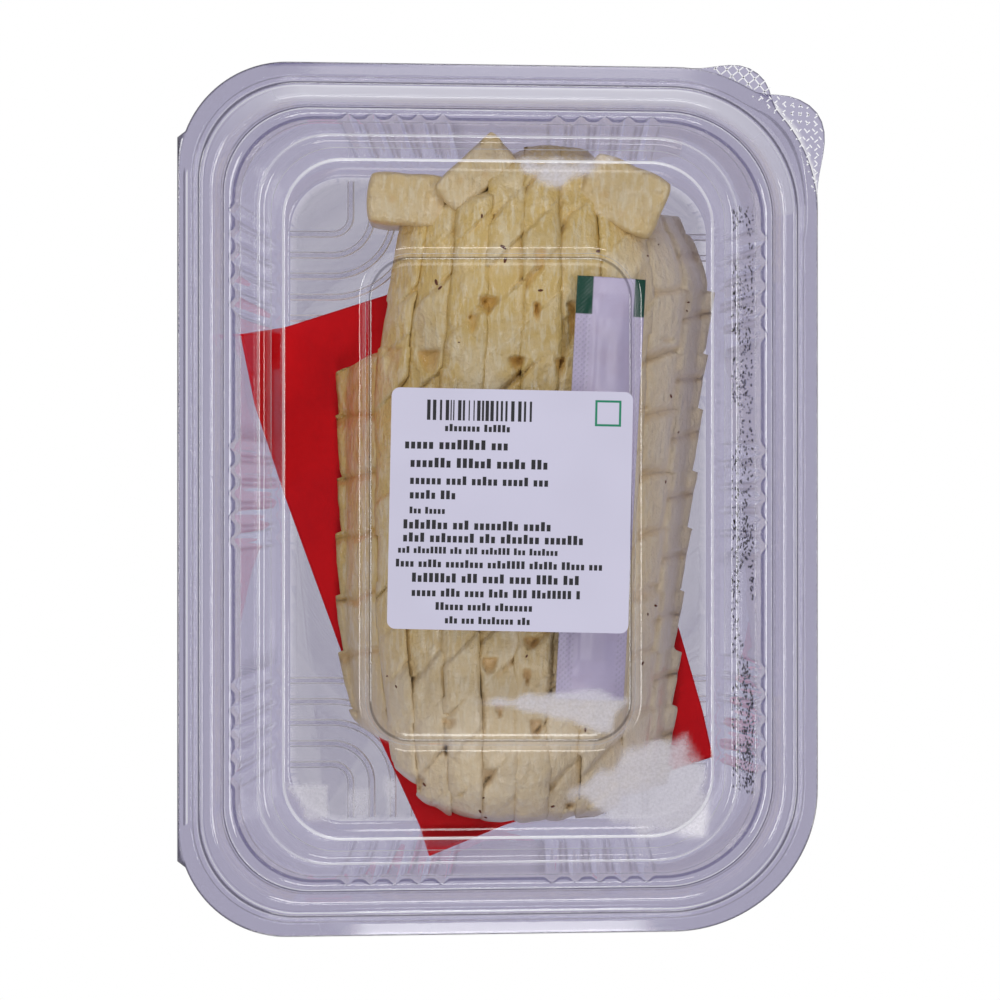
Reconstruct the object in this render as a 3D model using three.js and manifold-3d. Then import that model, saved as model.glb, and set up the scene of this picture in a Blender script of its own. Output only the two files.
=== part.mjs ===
// A shut clear pack of sliced pineapple: half a peeled fruit, cut lengthwise and laid face down on an
// absorbent pad in a thermoformed tray, under a hinged lid with a blank label and a seasoning sachet.
// Millimetres. X runs across the pack away from the hinge, Y along it, Z up.
import * as THREE from 'three';
import { mergeVertices } from 'three/addons/utils/BufferGeometryUtils.js';
import Module from 'manifold-3d';

const wasm = await Module();
wasm.setup();

// Pack outline
const PACK_WIDTH = 134;
const PACK_LENGTH = 184;
const HINGE_CORNER = 23;
const FREE_CORNER = 30;
const HINGE_CORNER_SHRINK = 0.5;
const FREE_CORNER_SHRINK = 0.8;
const SIDE_TAPER = 0.02;
const CORNER_STEPS = 8;
const SMALL_CORNER_STEPS = 4;

// Heights and walls
const RIM_HEIGHT = 39.6;
const BEAD_RISE = 2.8;
const LEDGE_HEIGHT = 39.2;
const TRAY_WALL = 0.8;
const LID_WALL = 0.6;
const GAP = 0.3;

// Distances in from the rim's edge
const BEAD_START = 3.6;
const BEAD_TOP_START = 4.9;
const BEAD_TOP_END = 7.0;
const BEAD_END = 8.9;
const TRAY_MOUTH = 11.9;
const MOUTH_ROUND = 12.8;
const WALL_FOOT = 19.8;
const FLOOR_START = 21.6;
const LID_LEDGE_END = 12.9;
const LID_STEP_START = 15.9;
const LID_STEP_END = 18.7;
const DOME_TOP_START = 21.4;

// How much further in the lid's dome starts along the two long sides
const DOME_SIDE_EXTRA = 1.4;
const DOME_SIDE_START = 11;
const DOME_SIDE_SPAN = 4;

// Heights along the tray wall and the lid's dome
const MOUTH_ROUND_HEIGHT = 37.4;
const WALL_FOOT_HEIGHT = 2.4;
const LID_LEDGE_HEIGHT = 39.8;
const LID_STEP_HEIGHT = 46.6;
const LID_STEP_RISE = 0.4;
const DOME_HEIGHT = 53.4;

// Raised panel in the middle of the lid
const PANEL_WIDTH = 55.3;
const PANEL_LENGTH = 101.3;
const PANEL_CORNER = 9;
const PANEL_RISE = 1.2;
const PANEL_SLOPE = 0.9;
const PANEL_CENTRE_X = 0.5;

// Hinge strips and opening tabs
const STRIP_LENGTH = 152;
const STRIP_OVERLAP = 2;
const STRIP_REACH = 0.2;
const TAB_OVERLAP = 1.5;
const TRAY_TAB = [[45, 84], [42.8, 90.4], [50.3, 91.3], [53, 90.6], [56, 88], [58.1, 85.6], [55, 80]];
const LID_TAB = [
  [55, 79], [58.4, 85.4], [64.8, 83.3], [67.5, 80.8], [68.6, 77.6], [68.6, 74.9], [66.9, 66.3], [65.8, 55], [62, 56],
];

// The fruit: a half pineapple cut into slices, left to right
const FRUIT_LEFT = -33.6;
const SLICE_WIDTHS = [8.0, 6.0, 8.0, 8.0, 8.2, 7.4, 8.0, 9.6, 11.2];
const SLICE_TOP_ENDS = [31, 61, 62, 64, 73, 77, 75.5, 62, 62];
const SLICE_BOTTOM_ENDS = [-51, -61, -67, -69, -70, -70, -69.5, -68.5, -64];
const SLICE_DROPS = [1.5, 0, 1.2, 0, 0.9, 0, 1.1, 0, 0.8];
const FRUIT_HEIGHT = 37;
const FRUIT_MIDDLE = 3.2;
const FRUIT_HALF_LENGTH = 78;
const FRUIT_END_POWER = 8;
const FRUIT_SIDE_POWER = 2.6;
const LEAST_HEIGHT = 9;
const LEAN = 7;
const LEAN_START = 22;
const LEAN_END = 66;
const LEANING_SLICES = 5;
const TOE_IN = 4.5;
const TOE_IN_START = -24;
const TOE_IN_END = -64;
const SPREAD = 5.5;
const SPREAD_SPAN = 60;
const SHOULDER = 9;
const SHOULDER_START = 44;
const SHOULDER_END = 66;
const SLICE_ROWS = 22;
const FLANK_ROWS = 40;
const SLICE_COLUMNS = 3;
const SLICE_EDGE_DROP = 0.7;
const END_NARROWING = 0.22;

// The knife's eye grooves, which cross the slices on a slant
const GROOVE_START = -42.7;
const GROOVE_PITCH = 19.8;
const GROOVE_COUNT = 9;
const GROOVE_ANGLE = 45;
const FLANK_GROOVE_ANGLE = 12;
const FLANK_GROOVE_PITCH = 12.8;
const FLANK_GROOVE_START = -46;
const GROOVE_HALF_WIDTH = 3.1;
const GROOVE_DEPTH = 4.4;
const GROOVE_CLEARANCE = 3;
const GROOVE_END_MARGIN = 7;
const GROOVE_SHIFT = 3;

// How far the flank's blocks stand out over the groove below them
const BLOCK_STEP = 1.2;

// Broken slice ends at the fruit's top: centre, length, width, height and turn in degrees
const END_PIECES = [
  { name: 'slice_end_crosswise', x: -19.2, y: 63.4, length: 17, width: 11.2, height: 32, turn: -4 },
  { name: 'slice_end_leaning', x: -4.8, y: 68.8, length: 17.6, width: 8.6, height: 34, turn: 43 },
  { name: 'slice_end_block', x: 26.4, y: 64.2, length: 18, width: 13.4, height: 33, turn: -24 },
];
const END_PIECE_BEVEL = 1.6;
const END_PIECE_ROUNDING = 0.9;

// Absorbent pad, label and sachet
const PAD_THICKNESS = 0.6;
const PAD_OUTLINE = [
  [-54, 34.6], [-50.5, 36.4], [-28, 43], [10, 55], [45.4, -54.4], [-14.6, -75.6], [-32.7, -36], [-46, 0.5], [-51.5, 20],
];
const LABEL_SIZE = 50;
const LABEL_CORNER = 1.7;
const LABEL_THICKNESS = 0.3;
const LABEL_CENTRE = [2.5, -2.3];
const LABEL_TURN = -1.2;
const SACHET_WIDTH = 14.5;
const SACHET_LENGTH = 89;
const SACHET_CENTRE = [21.6, 2.2];
const SACHET_TURN = -3;
const SACHET_SEAM = 0.5;
const SACHET_SWELL = 1.7;
const SACHET_CLEARANCE = 0.5;
const SACHET_ROWS = 14;
const SACHET_COLUMNS = 4;

const MERGE_TOLERANCE = 1e-4;
const TALL = 60;

// Closed geometry to solid and back

function solidOf(geometry) {
  const bare = geometry.clone();
  bare.deleteAttribute('normal');
  bare.deleteAttribute('uv');
  const merged = mergeVertices(bare, MERGE_TOLERANCE);
  const mesh = new wasm.Mesh({
    numProp: 3,
    vertProperties: new Float32Array(merged.attributes.position.array),
    triVerts: new Uint32Array(merged.index.array),
  });
  return new wasm.Manifold(mesh);
}

function geometryOf(solid) {
  const mesh = solid.getMesh();
  const geometry = new THREE.BufferGeometry();
  geometry.setAttribute('position', new THREE.BufferAttribute(mesh.vertProperties, 3));
  geometry.setIndex(new THREE.BufferAttribute(mesh.triVerts, 1));
  geometry.computeVertexNormals();
  return geometry;
}

function geometryFrom(points, triangles) {
  const geometry = new THREE.BufferGeometry();
  geometry.setAttribute('position', new THREE.Float32BufferAttribute(points.flat(), 3));
  geometry.setIndex(triangles.flat());
  return geometry;
}

function clamp01(value) {
  return Math.min(Math.max(value, 0), 1);
}

function smooth(value) {
  const t = clamp01(value);
  return t * t * (3 - 2 * t);
}

// Outlines and lofts

// The points of a rectangle with round corners, counter-clockwise from above.
function roundedOutline({ left, right, bottom, top, leftRadius, rightRadius, steps = CORNER_STEPS }) {
  const corners = [
    [right - rightRadius, top - rightRadius, rightRadius, 0],
    [left + leftRadius, top - leftRadius, leftRadius, 1],
    [left + leftRadius, bottom + leftRadius, leftRadius, 2],
    [right - rightRadius, bottom + rightRadius, rightRadius, 3],
  ];
  return corners.flatMap(([x, y, radius, quarter]) =>
    Array.from({ length: steps + 1 }, (_, step) => {
      const angle = (quarter + step / steps) * Math.PI / 2;
      return [x + radius * Math.cos(angle), y + radius * Math.sin(angle)];
    }));
}

// How much narrower the pack gets along Y with distance from the hinge.
function taperAt(x) {
  return 1 - SIDE_TAPER * (x + PACK_WIDTH / 2) / PACK_WIDTH;
}

// The rim's outline moved in by a distance, and further along its long sides, at one height.
function rimRing([inset, height], sideExtra = 0) {
  const outline = roundedOutline({
    left: inset + sideExtra - PACK_WIDTH / 2,
    right: PACK_WIDTH / 2 - inset - sideExtra,
    bottom: inset - PACK_LENGTH / 2,
    top: PACK_LENGTH / 2 - inset,
    leftRadius: HINGE_CORNER - HINGE_CORNER_SHRINK * inset,
    rightRadius: FREE_CORNER - FREE_CORNER_SHRINK * inset,
  });
  return outline.map(([x, y]) => [x, y * taperAt(x), height]);
}

// The lid follows the rim and then draws in to its dome.
function lidRing([inset, height]) {
  return rimRing([inset, height], DOME_SIDE_EXTRA * smooth((inset - DOME_SIDE_START) / DOME_SIDE_SPAN));
}

// The raised panel's outline moved in by a distance, at one height.
function panelRing([inset, height]) {
  const outline = roundedOutline({
    left: PANEL_CENTRE_X - PANEL_WIDTH / 2 + inset,
    right: PANEL_CENTRE_X + PANEL_WIDTH / 2 - inset,
    bottom: inset - PANEL_LENGTH / 2,
    top: PANEL_LENGTH / 2 - inset,
    leftRadius: PANEL_CORNER - inset,
    rightRadius: PANEL_CORNER - inset,
  });
  return outline.map(([x, y]) => [x, y, height]);
}

// The unit normal on the underside of a profile's segment, in inset and height.
function undersideNormal([insetA, heightA], [insetB, heightB]) {
  const length = Math.hypot(insetB - insetA, heightB - heightA);
  return [(heightB - heightA) / length, (insetA - insetB) / length];
}

// A profile of [inset, height] points moved to its underside by a distance, with mitred corners.
function offsetProfile(profile, distance) {
  const last = profile.length - 1;
  return profile.map((point, i) => {
    const before = undersideNormal(profile[Math.max(i - 1, 0)], profile[Math.max(i, 1)]);
    const after = undersideNormal(profile[Math.min(i, last - 1)], profile[Math.min(i + 1, last)]);
    const mitre = distance / (1 + before[0] * after[0] + before[1] * after[1]);
    return [point[0] + (before[0] + after[0]) * mitre, point[1] + (before[1] + after[1]) * mitre];
  });
}

// Joins closed rings one after another, with a fan over the first ring and one under the last.
function loft(rings) {
  const size = rings[0].length;
  const hub = (ring) => [PANEL_CENTRE_X, 0, ring[0][2]];
  const points = [...rings.flat(), hub(rings[0]), hub(rings[rings.length - 1])];
  const startHub = points.length - 2;
  const endHub = points.length - 1;
  const lastRing = (rings.length - 1) * size;
  const triangles = [];
  for (let i = 0; i < size; i += 1) {
    const next = (i + 1) % size;
    triangles.push([startHub, i, next], [endHub, lastRing + next, lastRing + i]);
    for (let base = 0; base < lastRing; base += size) {
      triangles.push([base + i, base + size + i, base + size + next]);
      triangles.push([base + i, base + size + next, base + next]);
    }
  }
  return geometryFrom(points, triangles);
}

// A sheet of one thickness: both skins are lists of rings from the rim inwards.
function shell(topSkin, underSkin) {
  return solidOf(loft([...[...topSkin].reverse(), ...underSkin]));
}

function plateOf(outline, thickness, height) {
  const shape = new THREE.Shape(outline.map(([x, y]) => new THREE.Vector2(x, y)));
  const geometry = new THREE.ExtrudeGeometry(shape, { depth: thickness, bevelEnabled: false });
  geometry.translate(0, 0, height);
  return solidOf(geometry);
}

// An opening tab, trimmed so that it meets the flat flange and stays off the bead.
function openingTab(outline, thickness, height) {
  const inside = solidOf(loft([rimRing([TAB_OVERLAP, TALL]), rimRing([TAB_OVERLAP, 0])]));
  return plateOf(outline, thickness, height).subtract(inside);
}

// The strip along the fold, on one half of the hinge.
function hingeStrip(thickness, height) {
  const strip = new THREE.BoxGeometry(STRIP_OVERLAP + STRIP_REACH, STRIP_LENGTH, thickness);
  strip.translate((STRIP_OVERLAP - STRIP_REACH - PACK_WIDTH) / 2, 0, height + thickness / 2);
  return solidOf(strip);
}

// Tray and lid

const trayRim = [
  [0, RIM_HEIGHT],
  [BEAD_START, RIM_HEIGHT],
  [BEAD_TOP_START, RIM_HEIGHT + BEAD_RISE],
  [BEAD_TOP_END, RIM_HEIGHT + BEAD_RISE],
  [BEAD_END, LEDGE_HEIGHT],
];
const trayWall = [
  [TRAY_MOUTH, LEDGE_HEIGHT],
  [MOUTH_ROUND, MOUTH_ROUND_HEIGHT],
  [WALL_FOOT, WALL_FOOT_HEIGHT],
  [FLOOR_START, TRAY_WALL],
];

function traySolid() {
  const profile = [...trayRim, ...trayWall];
  const under = offsetProfile(profile, TRAY_WALL);
  under[under.length - 1] = [FLOOR_START, 0];
  return shell(profile.map((point) => rimRing(point)), under.map((point) => rimRing(point)))
    .add(hingeStrip(TRAY_WALL, RIM_HEIGHT - TRAY_WALL))
    .add(openingTab(TRAY_TAB, TRAY_WALL, RIM_HEIGHT - TRAY_WALL));
}

function lidSolid() {
  const rimFollower = offsetProfile(trayRim, -GAP).slice(0, -1);
  const rimProfile = [
    ...rimFollower,
    [BEAD_END + GAP, LID_LEDGE_HEIGHT],
    [LID_LEDGE_END, LID_LEDGE_HEIGHT],
    [LID_STEP_START, LID_STEP_HEIGHT],
    [LID_STEP_END, LID_STEP_HEIGHT + LID_STEP_RISE],
    [DOME_TOP_START, DOME_HEIGHT],
  ];
  const panelProfile = [
    [0, DOME_HEIGHT],
    [PANEL_SLOPE, DOME_HEIGHT + PANEL_RISE],
  ];
  const domeEdge = [DOME_TOP_START + 1, DOME_HEIGHT];
  const panelEdge = [-1, DOME_HEIGHT];
  const panelMiddle = [PANEL_SLOPE + 1, DOME_HEIGHT + PANEL_RISE];
  const topRim = offsetProfile([...rimProfile, domeEdge], -LID_WALL).slice(0, -1);
  const topPanel = offsetProfile([panelEdge, ...panelProfile, panelMiddle], -LID_WALL).slice(1, -1);
  const topSkin = [...topRim.map(lidRing), ...topPanel.map(panelRing)];
  const underSkin = [...rimProfile.map(lidRing), ...panelProfile.map(panelRing)];
  return shell(topSkin, underSkin)
    .add(hingeStrip(LID_WALL, RIM_HEIGHT + GAP))
    .add(openingTab(LID_TAB, LID_WALL, RIM_HEIGHT + GAP));
}

// The room inside the tray, kept clear of its wall and floor by a gap.
function trayRoom(gap) {
  const wall = offsetProfile([...trayWall, [FLOOR_START + 1, TRAY_WALL]], -gap).slice(0, -1);
  wall[0] = [wall[1][0], TALL];
  return solidOf(loft(wall.map((point) => rimRing(point))));
}

// The fruit

// The line of one cut: both ends lean in on the hinge side, and the free side spreads to a shoulder.
function cutLine(cut, y) {
  const start = SLICE_WIDTHS.slice(0, cut).reduce((sum, width) => sum + width, FRUIT_LEFT);
  const hingeShare = clamp01(1 - cut / LEANING_SLICES);
  const freeShare = (cut / SLICE_WIDTHS.length) ** 3;
  const lean = LEAN * smooth((y - LEAN_START) / (LEAN_END - LEAN_START));
  const toeIn = TOE_IN * smooth((y - TOE_IN_START) / (TOE_IN_END - TOE_IN_START));
  const shoulder = SHOULDER * smooth((y - SHOULDER_START) / (SHOULDER_END - SHOULDER_START));
  return start + hingeShare * (lean + toeIn) + freeShare * (SPREAD * y / SPREAD_SPAN - freeShare * shoulder);
}

// The peeled surface without its cuts and grooves.
function fruitSurface(x, y) {
  const left = cutLine(0, y);
  const right = cutLine(SLICE_WIDTHS.length, y);
  const across = Math.abs((2 * x - left - right) / (right - left));
  const along = Math.abs((y - FRUIT_MIDDLE) / FRUIT_HALF_LENGTH);
  const side = Math.sqrt(1 - clamp01(across) ** FRUIT_SIDE_POWER);
  const end = Math.sqrt(1 - clamp01(along) ** FRUIT_END_POWER);
  return Math.max(FRUIT_HEIGHT * side * end, LEAST_HEIGHT) + TRAY_WALL;
}

// Where a groove crosses the middle of a slice.
function grooveCentre(index, groove) {
  const middle = (cutLine(index, 0) + cutLine(index + 1, 0)) / 2;
  const crossing = isFlank(index)
    ? FLANK_GROOVE_START + groove * FLANK_GROOVE_PITCH
    : middle - GROOVE_START - groove * GROOVE_PITCH;
  return crossing + GROOVE_SHIFT * Math.sin(index * 2.4);
}

function isFlank(index) {
  return index === 0 || index === SLICE_WIDTHS.length - 1;
}

// How far a flank's outer side stands out: each block widens upwards and ends at a groove.
function blockStep(index, y) {
  const along = (y - grooveCentre(index, 0)) / FLANK_GROOVE_PITCH;
  return BLOCK_STEP * (along - Math.floor(along));
}

// A solid on a grid: the same plan points at a lower and an upper height.
function gridSolid(columns, rows, planPoint, lowAt, highAt) {
  const width = columns + 1;
  const count = width * (rows + 1);
  const plan = Array.from({ length: count }, (_, i) => planPoint((i % width) / columns, Math.floor(i / width) / rows));
  const low = plan.map(([x, y, across, along]) => [x, y, lowAt(x, y, across, along)]);
  const high = plan.map(([x, y, across, along]) => [x, y, highAt(x, y, across, along)]);
  const triangles = [];
  for (let row = 0; row < rows; row += 1) {
    for (let column = 0; column < columns; column += 1) {
      const a = row * width + column;
      const b = a + 1;
      const c = b + width;
      const d = a + width;
      triangles.push([count + a, count + b, count + c], [count + a, count + c, count + d]);
      triangles.push([a, c, b], [a, d, c]);
    }
  }
  const wall = (from, to) => triangles.push([from, to, count + to], [from, count + to, count + from]);
  for (let column = 0; column < columns; column += 1) {
    wall(column, column + 1);
    wall(rows * width + column + 1, rows * width + column);
  }
  for (let row = 0; row < rows; row += 1) {
    wall((row + 1) * width, row * width);
    wall(row * width + columns, (row + 1) * width + columns);
  }
  return solidOf(geometryFrom([...low, ...high], triangles));
}

// One V cut across a slice, with its bottom below the surface and its sides open above it.
function grooveCutter(x, y, surface, length, angle) {
  const half = GROOVE_HALF_WIDTH * (1 + GROOVE_CLEARANCE / GROOVE_DEPTH);
  const shape = new THREE.Shape();
  shape.moveTo(-half, GROOVE_CLEARANCE);
  shape.lineTo(0, -GROOVE_DEPTH);
  shape.lineTo(half, GROOVE_CLEARANCE);
  const geometry = new THREE.ExtrudeGeometry(shape, { depth: length, bevelEnabled: false });
  geometry.translate(0, 0, -length / 2);
  geometry.rotateX(Math.PI / 2);
  geometry.rotateZ(THREE.MathUtils.degToRad(angle - 90));
  geometry.translate(x, y, surface);
  return solidOf(geometry);
}

function fruitSlice(index, room) {
  const bottom = SLICE_BOTTOM_ENDS[index];
  const top = SLICE_TOP_ENDS[index];
  const flank = isFlank(index);
  const plan = (across, along) => {
    const y = bottom + (top - bottom) * along;
    const left = cutLine(index, y) + GAP / 2 - (index === 0 ? blockStep(index, y) : 0);
    const right = cutLine(index + 1, y) - GAP / 2 + (flank && index > 0 ? blockStep(index, y) : 0);
    const narrowing = END_NARROWING * Math.abs(2 * along - 1) ** 12;
    const u = narrowing + across * (1 - 2 * narrowing);
    return [left + (right - left) * u, y, 2 * across - 1, along];
  };
  const upper = (x, y, across) =>
    fruitSurface(x, y) - SLICE_DROPS[index] - SLICE_EDGE_DROP * across * across;
  const rows = flank ? FLANK_ROWS : SLICE_ROWS;
  let slice = gridSolid(SLICE_COLUMNS, rows, plan, () => 0, upper).intersect(room);
  const angle = flank ? FLANK_GROOVE_ANGLE : GROOVE_ANGLE;
  for (let groove = 0; groove < GROOVE_COUNT; groove += 1) {
    const y = grooveCentre(index, groove);
    if (y > bottom + GROOVE_END_MARGIN && y < top - GROOVE_END_MARGIN) {
      const x = (cutLine(index, y) + cutLine(index + 1, y)) / 2;
      const length = 2 * SLICE_WIDTHS[index];
      slice = slice.subtract(grooveCutter(x, y, upper(x, y, 0), length, angle));
    }
  }
  return clearOf(slice, END_PIECES);
}

// A solid cut back from where the given broken ends stand.
function clearOf(solid, ends) {
  return ends.reduce((rest, end) => rest.subtract(brokenEnd({ ...end, height: TALL }, GAP)), solid);
}

// The upper end of a slice that broke off, standing on its cut face and grown by a margin.
function brokenEnd({ x, y, length, width, height, turn }, margin) {
  const inset = END_PIECE_BEVEL - margin;
  const corner = (width / 2 - END_PIECE_BEVEL) * END_PIECE_ROUNDING;
  const outline = roundedOutline({
    left: inset - length / 2,
    right: length / 2 - inset,
    bottom: inset - width / 2,
    top: width / 2 - inset,
    leftRadius: corner,
    rightRadius: corner,
    steps: SMALL_CORNER_STEPS,
  });
  const shape = new THREE.Shape(outline.map(([px, py]) => new THREE.Vector2(px, py)));
  const geometry = new THREE.ExtrudeGeometry(shape, {
    depth: height - END_PIECE_BEVEL + margin,
    bevelThickness: END_PIECE_BEVEL,
    bevelSize: END_PIECE_BEVEL,
    bevelSegments: 2,
  });
  geometry.rotateZ(THREE.MathUtils.degToRad(turn));
  geometry.translate(x, y, 0);
  return solidOf(geometry);
}

// Pad, label and sachet

// The pad lies on the floor and climbs the wall where it reaches it.
function padSolid() {
  const layer = trayRoom(GAP).subtract(trayRoom(GAP + PAD_THICKNESS));
  const column = plateOf(PAD_OUTLINE, MOUTH_ROUND_HEIGHT, 0);
  return layer.intersect(column);
}

function labelSolid() {
  const half = LABEL_SIZE / 2;
  const outline = roundedOutline({
    left: -half,
    right: half,
    bottom: -half,
    top: half,
    leftRadius: LABEL_CORNER,
    rightRadius: LABEL_CORNER,
    steps: SMALL_CORNER_STEPS,
  });
  const shape = new THREE.Shape(outline.map(([x, y]) => new THREE.Vector2(x, y)));
  const geometry = new THREE.ExtrudeGeometry(shape, { depth: LABEL_THICKNESS, bevelEnabled: false });
  return solidOf(geometry);
}

// The sachet follows the fruit's surface and swells between its seams.
function sachetSolid() {
  const turn = THREE.MathUtils.degToRad(SACHET_TURN);
  const plan = (across, along) => {
    const u = (across - 0.5) * SACHET_WIDTH;
    const v = (along - 0.5) * SACHET_LENGTH;
    const x = SACHET_CENTRE[0] + u * Math.cos(turn) - v * Math.sin(turn);
    const y = SACHET_CENTRE[1] + u * Math.sin(turn) + v * Math.cos(turn);
    return [x, y, 2 * across - 1, 2 * along - 1];
  };
  const low = (x, y) => fruitSurface(x, y) + SACHET_CLEARANCE;
  const high = (x, y, across, along) =>
    low(x, y) + SACHET_SEAM + SACHET_SWELL * (1 - across ** 2) * (1 - along ** 6);
  return gridSolid(SACHET_COLUMNS, SACHET_ROWS, plan, low, high);
}

// Materials and assembly

function finish(color, roughness, opacity = 1) {
  return new THREE.MeshStandardMaterial({ color, roughness, metalness: 0, opacity, transparent: opacity < 1 });
}

function piece(name, solid, material) {
  const mesh = new THREE.Mesh(geometryOf(solid), material);
  mesh.name = name;
  return mesh;
}

const pack = new THREE.Group();
const trayGroup = new THREE.Group();
const lidGroup = new THREE.Group();
pack.add(trayGroup, lidGroup);

const fruitRoom = trayRoom(GAP + PAD_THICKNESS + GAP);
trayGroup.add(piece('tray', traySolid(), finish('#b9b5c4', 0.12, 0.3)));
trayGroup.add(piece('absorbent_pad', padSolid(), finish('#c81a2e', 0.45)));
SLICE_WIDTHS.forEach((_, index) => {
  trayGroup.add(piece(`slice_${index + 1}`, fruitSlice(index, fruitRoom), finish('#d9c98f', 0.4)));
});
END_PIECES.forEach((end, index) => {
  const solid = clearOf(brokenEnd(end, 0).intersect(fruitRoom), END_PIECES.slice(index + 1));
  trayGroup.add(piece(end.name, solid, finish('#d4c284', 0.4)));
});
trayGroup.add(piece('sachet', sachetSolid(), finish('#d8d4e2', 0.35)));
lidGroup.add(piece('lid', lidSolid(), finish('#b9b5c4', 0.12, 0.3)));

const label = piece('label', labelSolid(), finish('#f1f0f4', 0.5));
label.rotation.z = THREE.MathUtils.degToRad(LABEL_TURN);
label.position.set(LABEL_CENTRE[0], LABEL_CENTRE[1], DOME_HEIGHT + PANEL_RISE + LID_WALL + GAP);
lidGroup.add(label);

// The origin goes to the middle of the underside of the whole pack.
const box = new THREE.Box3().setFromObject(pack);
const middle = box.getCenter(new THREE.Vector3());
trayGroup.position.set(-middle.x, -middle.y, -box.min.z);
lidGroup.position.copy(trayGroup.position);

export default pack;
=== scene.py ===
"""A shut clear pack of sliced pineapple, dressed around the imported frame.

The pack is designed in millimetres about the middle of its rim, as the part is, and every mesh is
turned into metres in the row frame when it is made.
"""

import math

import bpy
import numpy as np
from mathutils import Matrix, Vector


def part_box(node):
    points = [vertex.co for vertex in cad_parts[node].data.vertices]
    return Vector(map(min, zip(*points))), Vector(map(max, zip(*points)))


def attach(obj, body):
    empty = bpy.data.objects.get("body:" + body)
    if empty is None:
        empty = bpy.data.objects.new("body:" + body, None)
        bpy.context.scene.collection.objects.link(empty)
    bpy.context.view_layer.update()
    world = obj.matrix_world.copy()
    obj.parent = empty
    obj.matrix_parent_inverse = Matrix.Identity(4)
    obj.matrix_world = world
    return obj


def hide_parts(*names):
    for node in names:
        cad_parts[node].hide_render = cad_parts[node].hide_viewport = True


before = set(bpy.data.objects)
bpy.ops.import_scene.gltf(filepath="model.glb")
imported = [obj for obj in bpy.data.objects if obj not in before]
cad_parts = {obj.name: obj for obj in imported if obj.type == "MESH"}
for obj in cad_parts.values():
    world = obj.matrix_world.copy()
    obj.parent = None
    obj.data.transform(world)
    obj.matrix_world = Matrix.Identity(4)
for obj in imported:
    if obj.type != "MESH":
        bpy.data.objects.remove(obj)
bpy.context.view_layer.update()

MM = 0.001

# Pack outline, as in the part
PACK_WIDTH = 134.0
PACK_LENGTH = 184.0
HINGE_CORNER = 23.0
FREE_CORNER = 30.0
HINGE_CORNER_SHRINK = 0.5
FREE_CORNER_SHRINK = 0.8
SIDE_TAPER = 0.02
STRIP_HALF_LENGTH = 76.0
STRIP_REACH = 0.2
TRAY_WALL = 0.8
LID_WALL = 0.6
GAP = 0.3
FLANGE_WIDTH = 3.6

# Profiles from the rim inwards: inset, height, the corner's rounding, and its look, from -1 for painted dark
# shade to 1 for a painted white highlight
RIM_HEIGHT = 39.6
WALL_FOOT, WALL_FOOT_HEIGHT = 19.8, 2.4
WALL_MOUTH, WALL_MOUTH_HEIGHT = 12.8, 37.4
WALL_SLOPE = (WALL_MOUTH_HEIGHT - WALL_FOOT_HEIGHT) / (WALL_FOOT - WALL_MOUTH)
TRAY_PROFILE = [
    (0.0, 39.6, 0.0, -1.0),
    (0.35, 39.6, 0.0, 0.0),
    (FLANGE_WIDTH, 39.6, 0.3, 0.0),
    (4.9, 42.4, 0.5, 0.0),
    (7.0, 42.4, 0.5, 0.0),
    (8.9, 39.2, 0.25, -0.5),
    (11.6, 39.2, 0.0, 0.0),
    (11.9, 39.2, 0.08, -0.8),
    (12.15, 38.7, 0.0, 0.0),
    (WALL_MOUTH, WALL_MOUTH_HEIGHT, 0.3, 0.0),
    (15.0, 26.4, 0.0, 0.0),
    (17.5, 13.9, 0.0, 0.0),
    (WALL_FOOT, WALL_FOOT_HEIGHT, 0.8, 0.0),
    (21.6, 0.8, 0.5, 0.2),
    (23.5, 0.8, 0.0, -0.3),
]
# Painted light on the lid: a painted highlight band along the far short side, weaker painted highlights on
# the bends along the long sides, and a painted dark line and a painted white line along the hinge
BAND_HIGHLIGHT = 0.5
BAND_START, BAND_END = 5.2, 8.5
LONG_SIDE_LIGHT = 0.5
HINGE_DARK_LINE, HINGE_SHADE_LOOK = 1.25, -0.9
HINGE_WHITE_LINE, HINGE_HIGHLIGHT_LOOK = 1.8, 0.8
LID_RIM_PROFILE = [
    (0.0, 39.9, 0.0, -1.0),
    (0.25, 39.9, 0.0, 0.0),
    (1.0, 39.9, 0.0, 0.0),
    (HINGE_DARK_LINE, 39.9, 0.0, 0.0),
    (1.5, 39.9, 0.0, 0.0),
    (HINGE_WHITE_LINE, 39.9, 0.0, 0.0),
    (2.1, 39.9, 0.0, 0.0),
    (2.5, 39.9, 0.0, 0.0),
    (3.4, 39.9, 0.2, -0.3),
    (4.5, 42.4, 0.0, 0.0),
    (4.7, 42.7, 0.15, -0.9),
    (5.1, 42.7, 0.0, 0.6),
    (5.35, 42.7, 0.0, 0.0),
    (7.15, 42.7, 0.4, 0.0),
    (8.8, 40.3, 0.0, 0.0),
    (9.0, 40.05, 0.0, -1.2),
    (9.25, 39.8, 0.0, -1.2),
    (9.45, 39.8, 0.0, 0.0),
    (9.7, 39.8, 0.0, 0.5),
    (9.95, 39.8, 0.0, 0.0),
    (12.9, 39.8, 0.2, 0.25),
    (15.9, 46.6, 0.2, 0.45),
    (18.7, 46.85, 0.2, 0.8),
    (21.4, 53.4, 0.22, 0.85),
    (23.5, 53.4, 0.0, 0.0),
]
LID_PANEL_PROFILE = [
    (-2.0, 53.4, 0.0, 0.0),
    (0.0, 53.4, 0.2, 0.8),
    (0.9, 54.6, 0.25, -0.7),
    (3.0, 54.6, 0.0, 0.0),
]
ROUNDING_STEPS = 4
DOME_SIDE_EXTRA = 1.4
DOME_SIDE_START = 11.0
DOME_SIDE_SPAN = 4.0
PANEL_WIDTH = 55.3
PANEL_LENGTH = 101.3
PANEL_CORNER = 9.0
PANEL_CENTRE_X = 0.5

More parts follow.
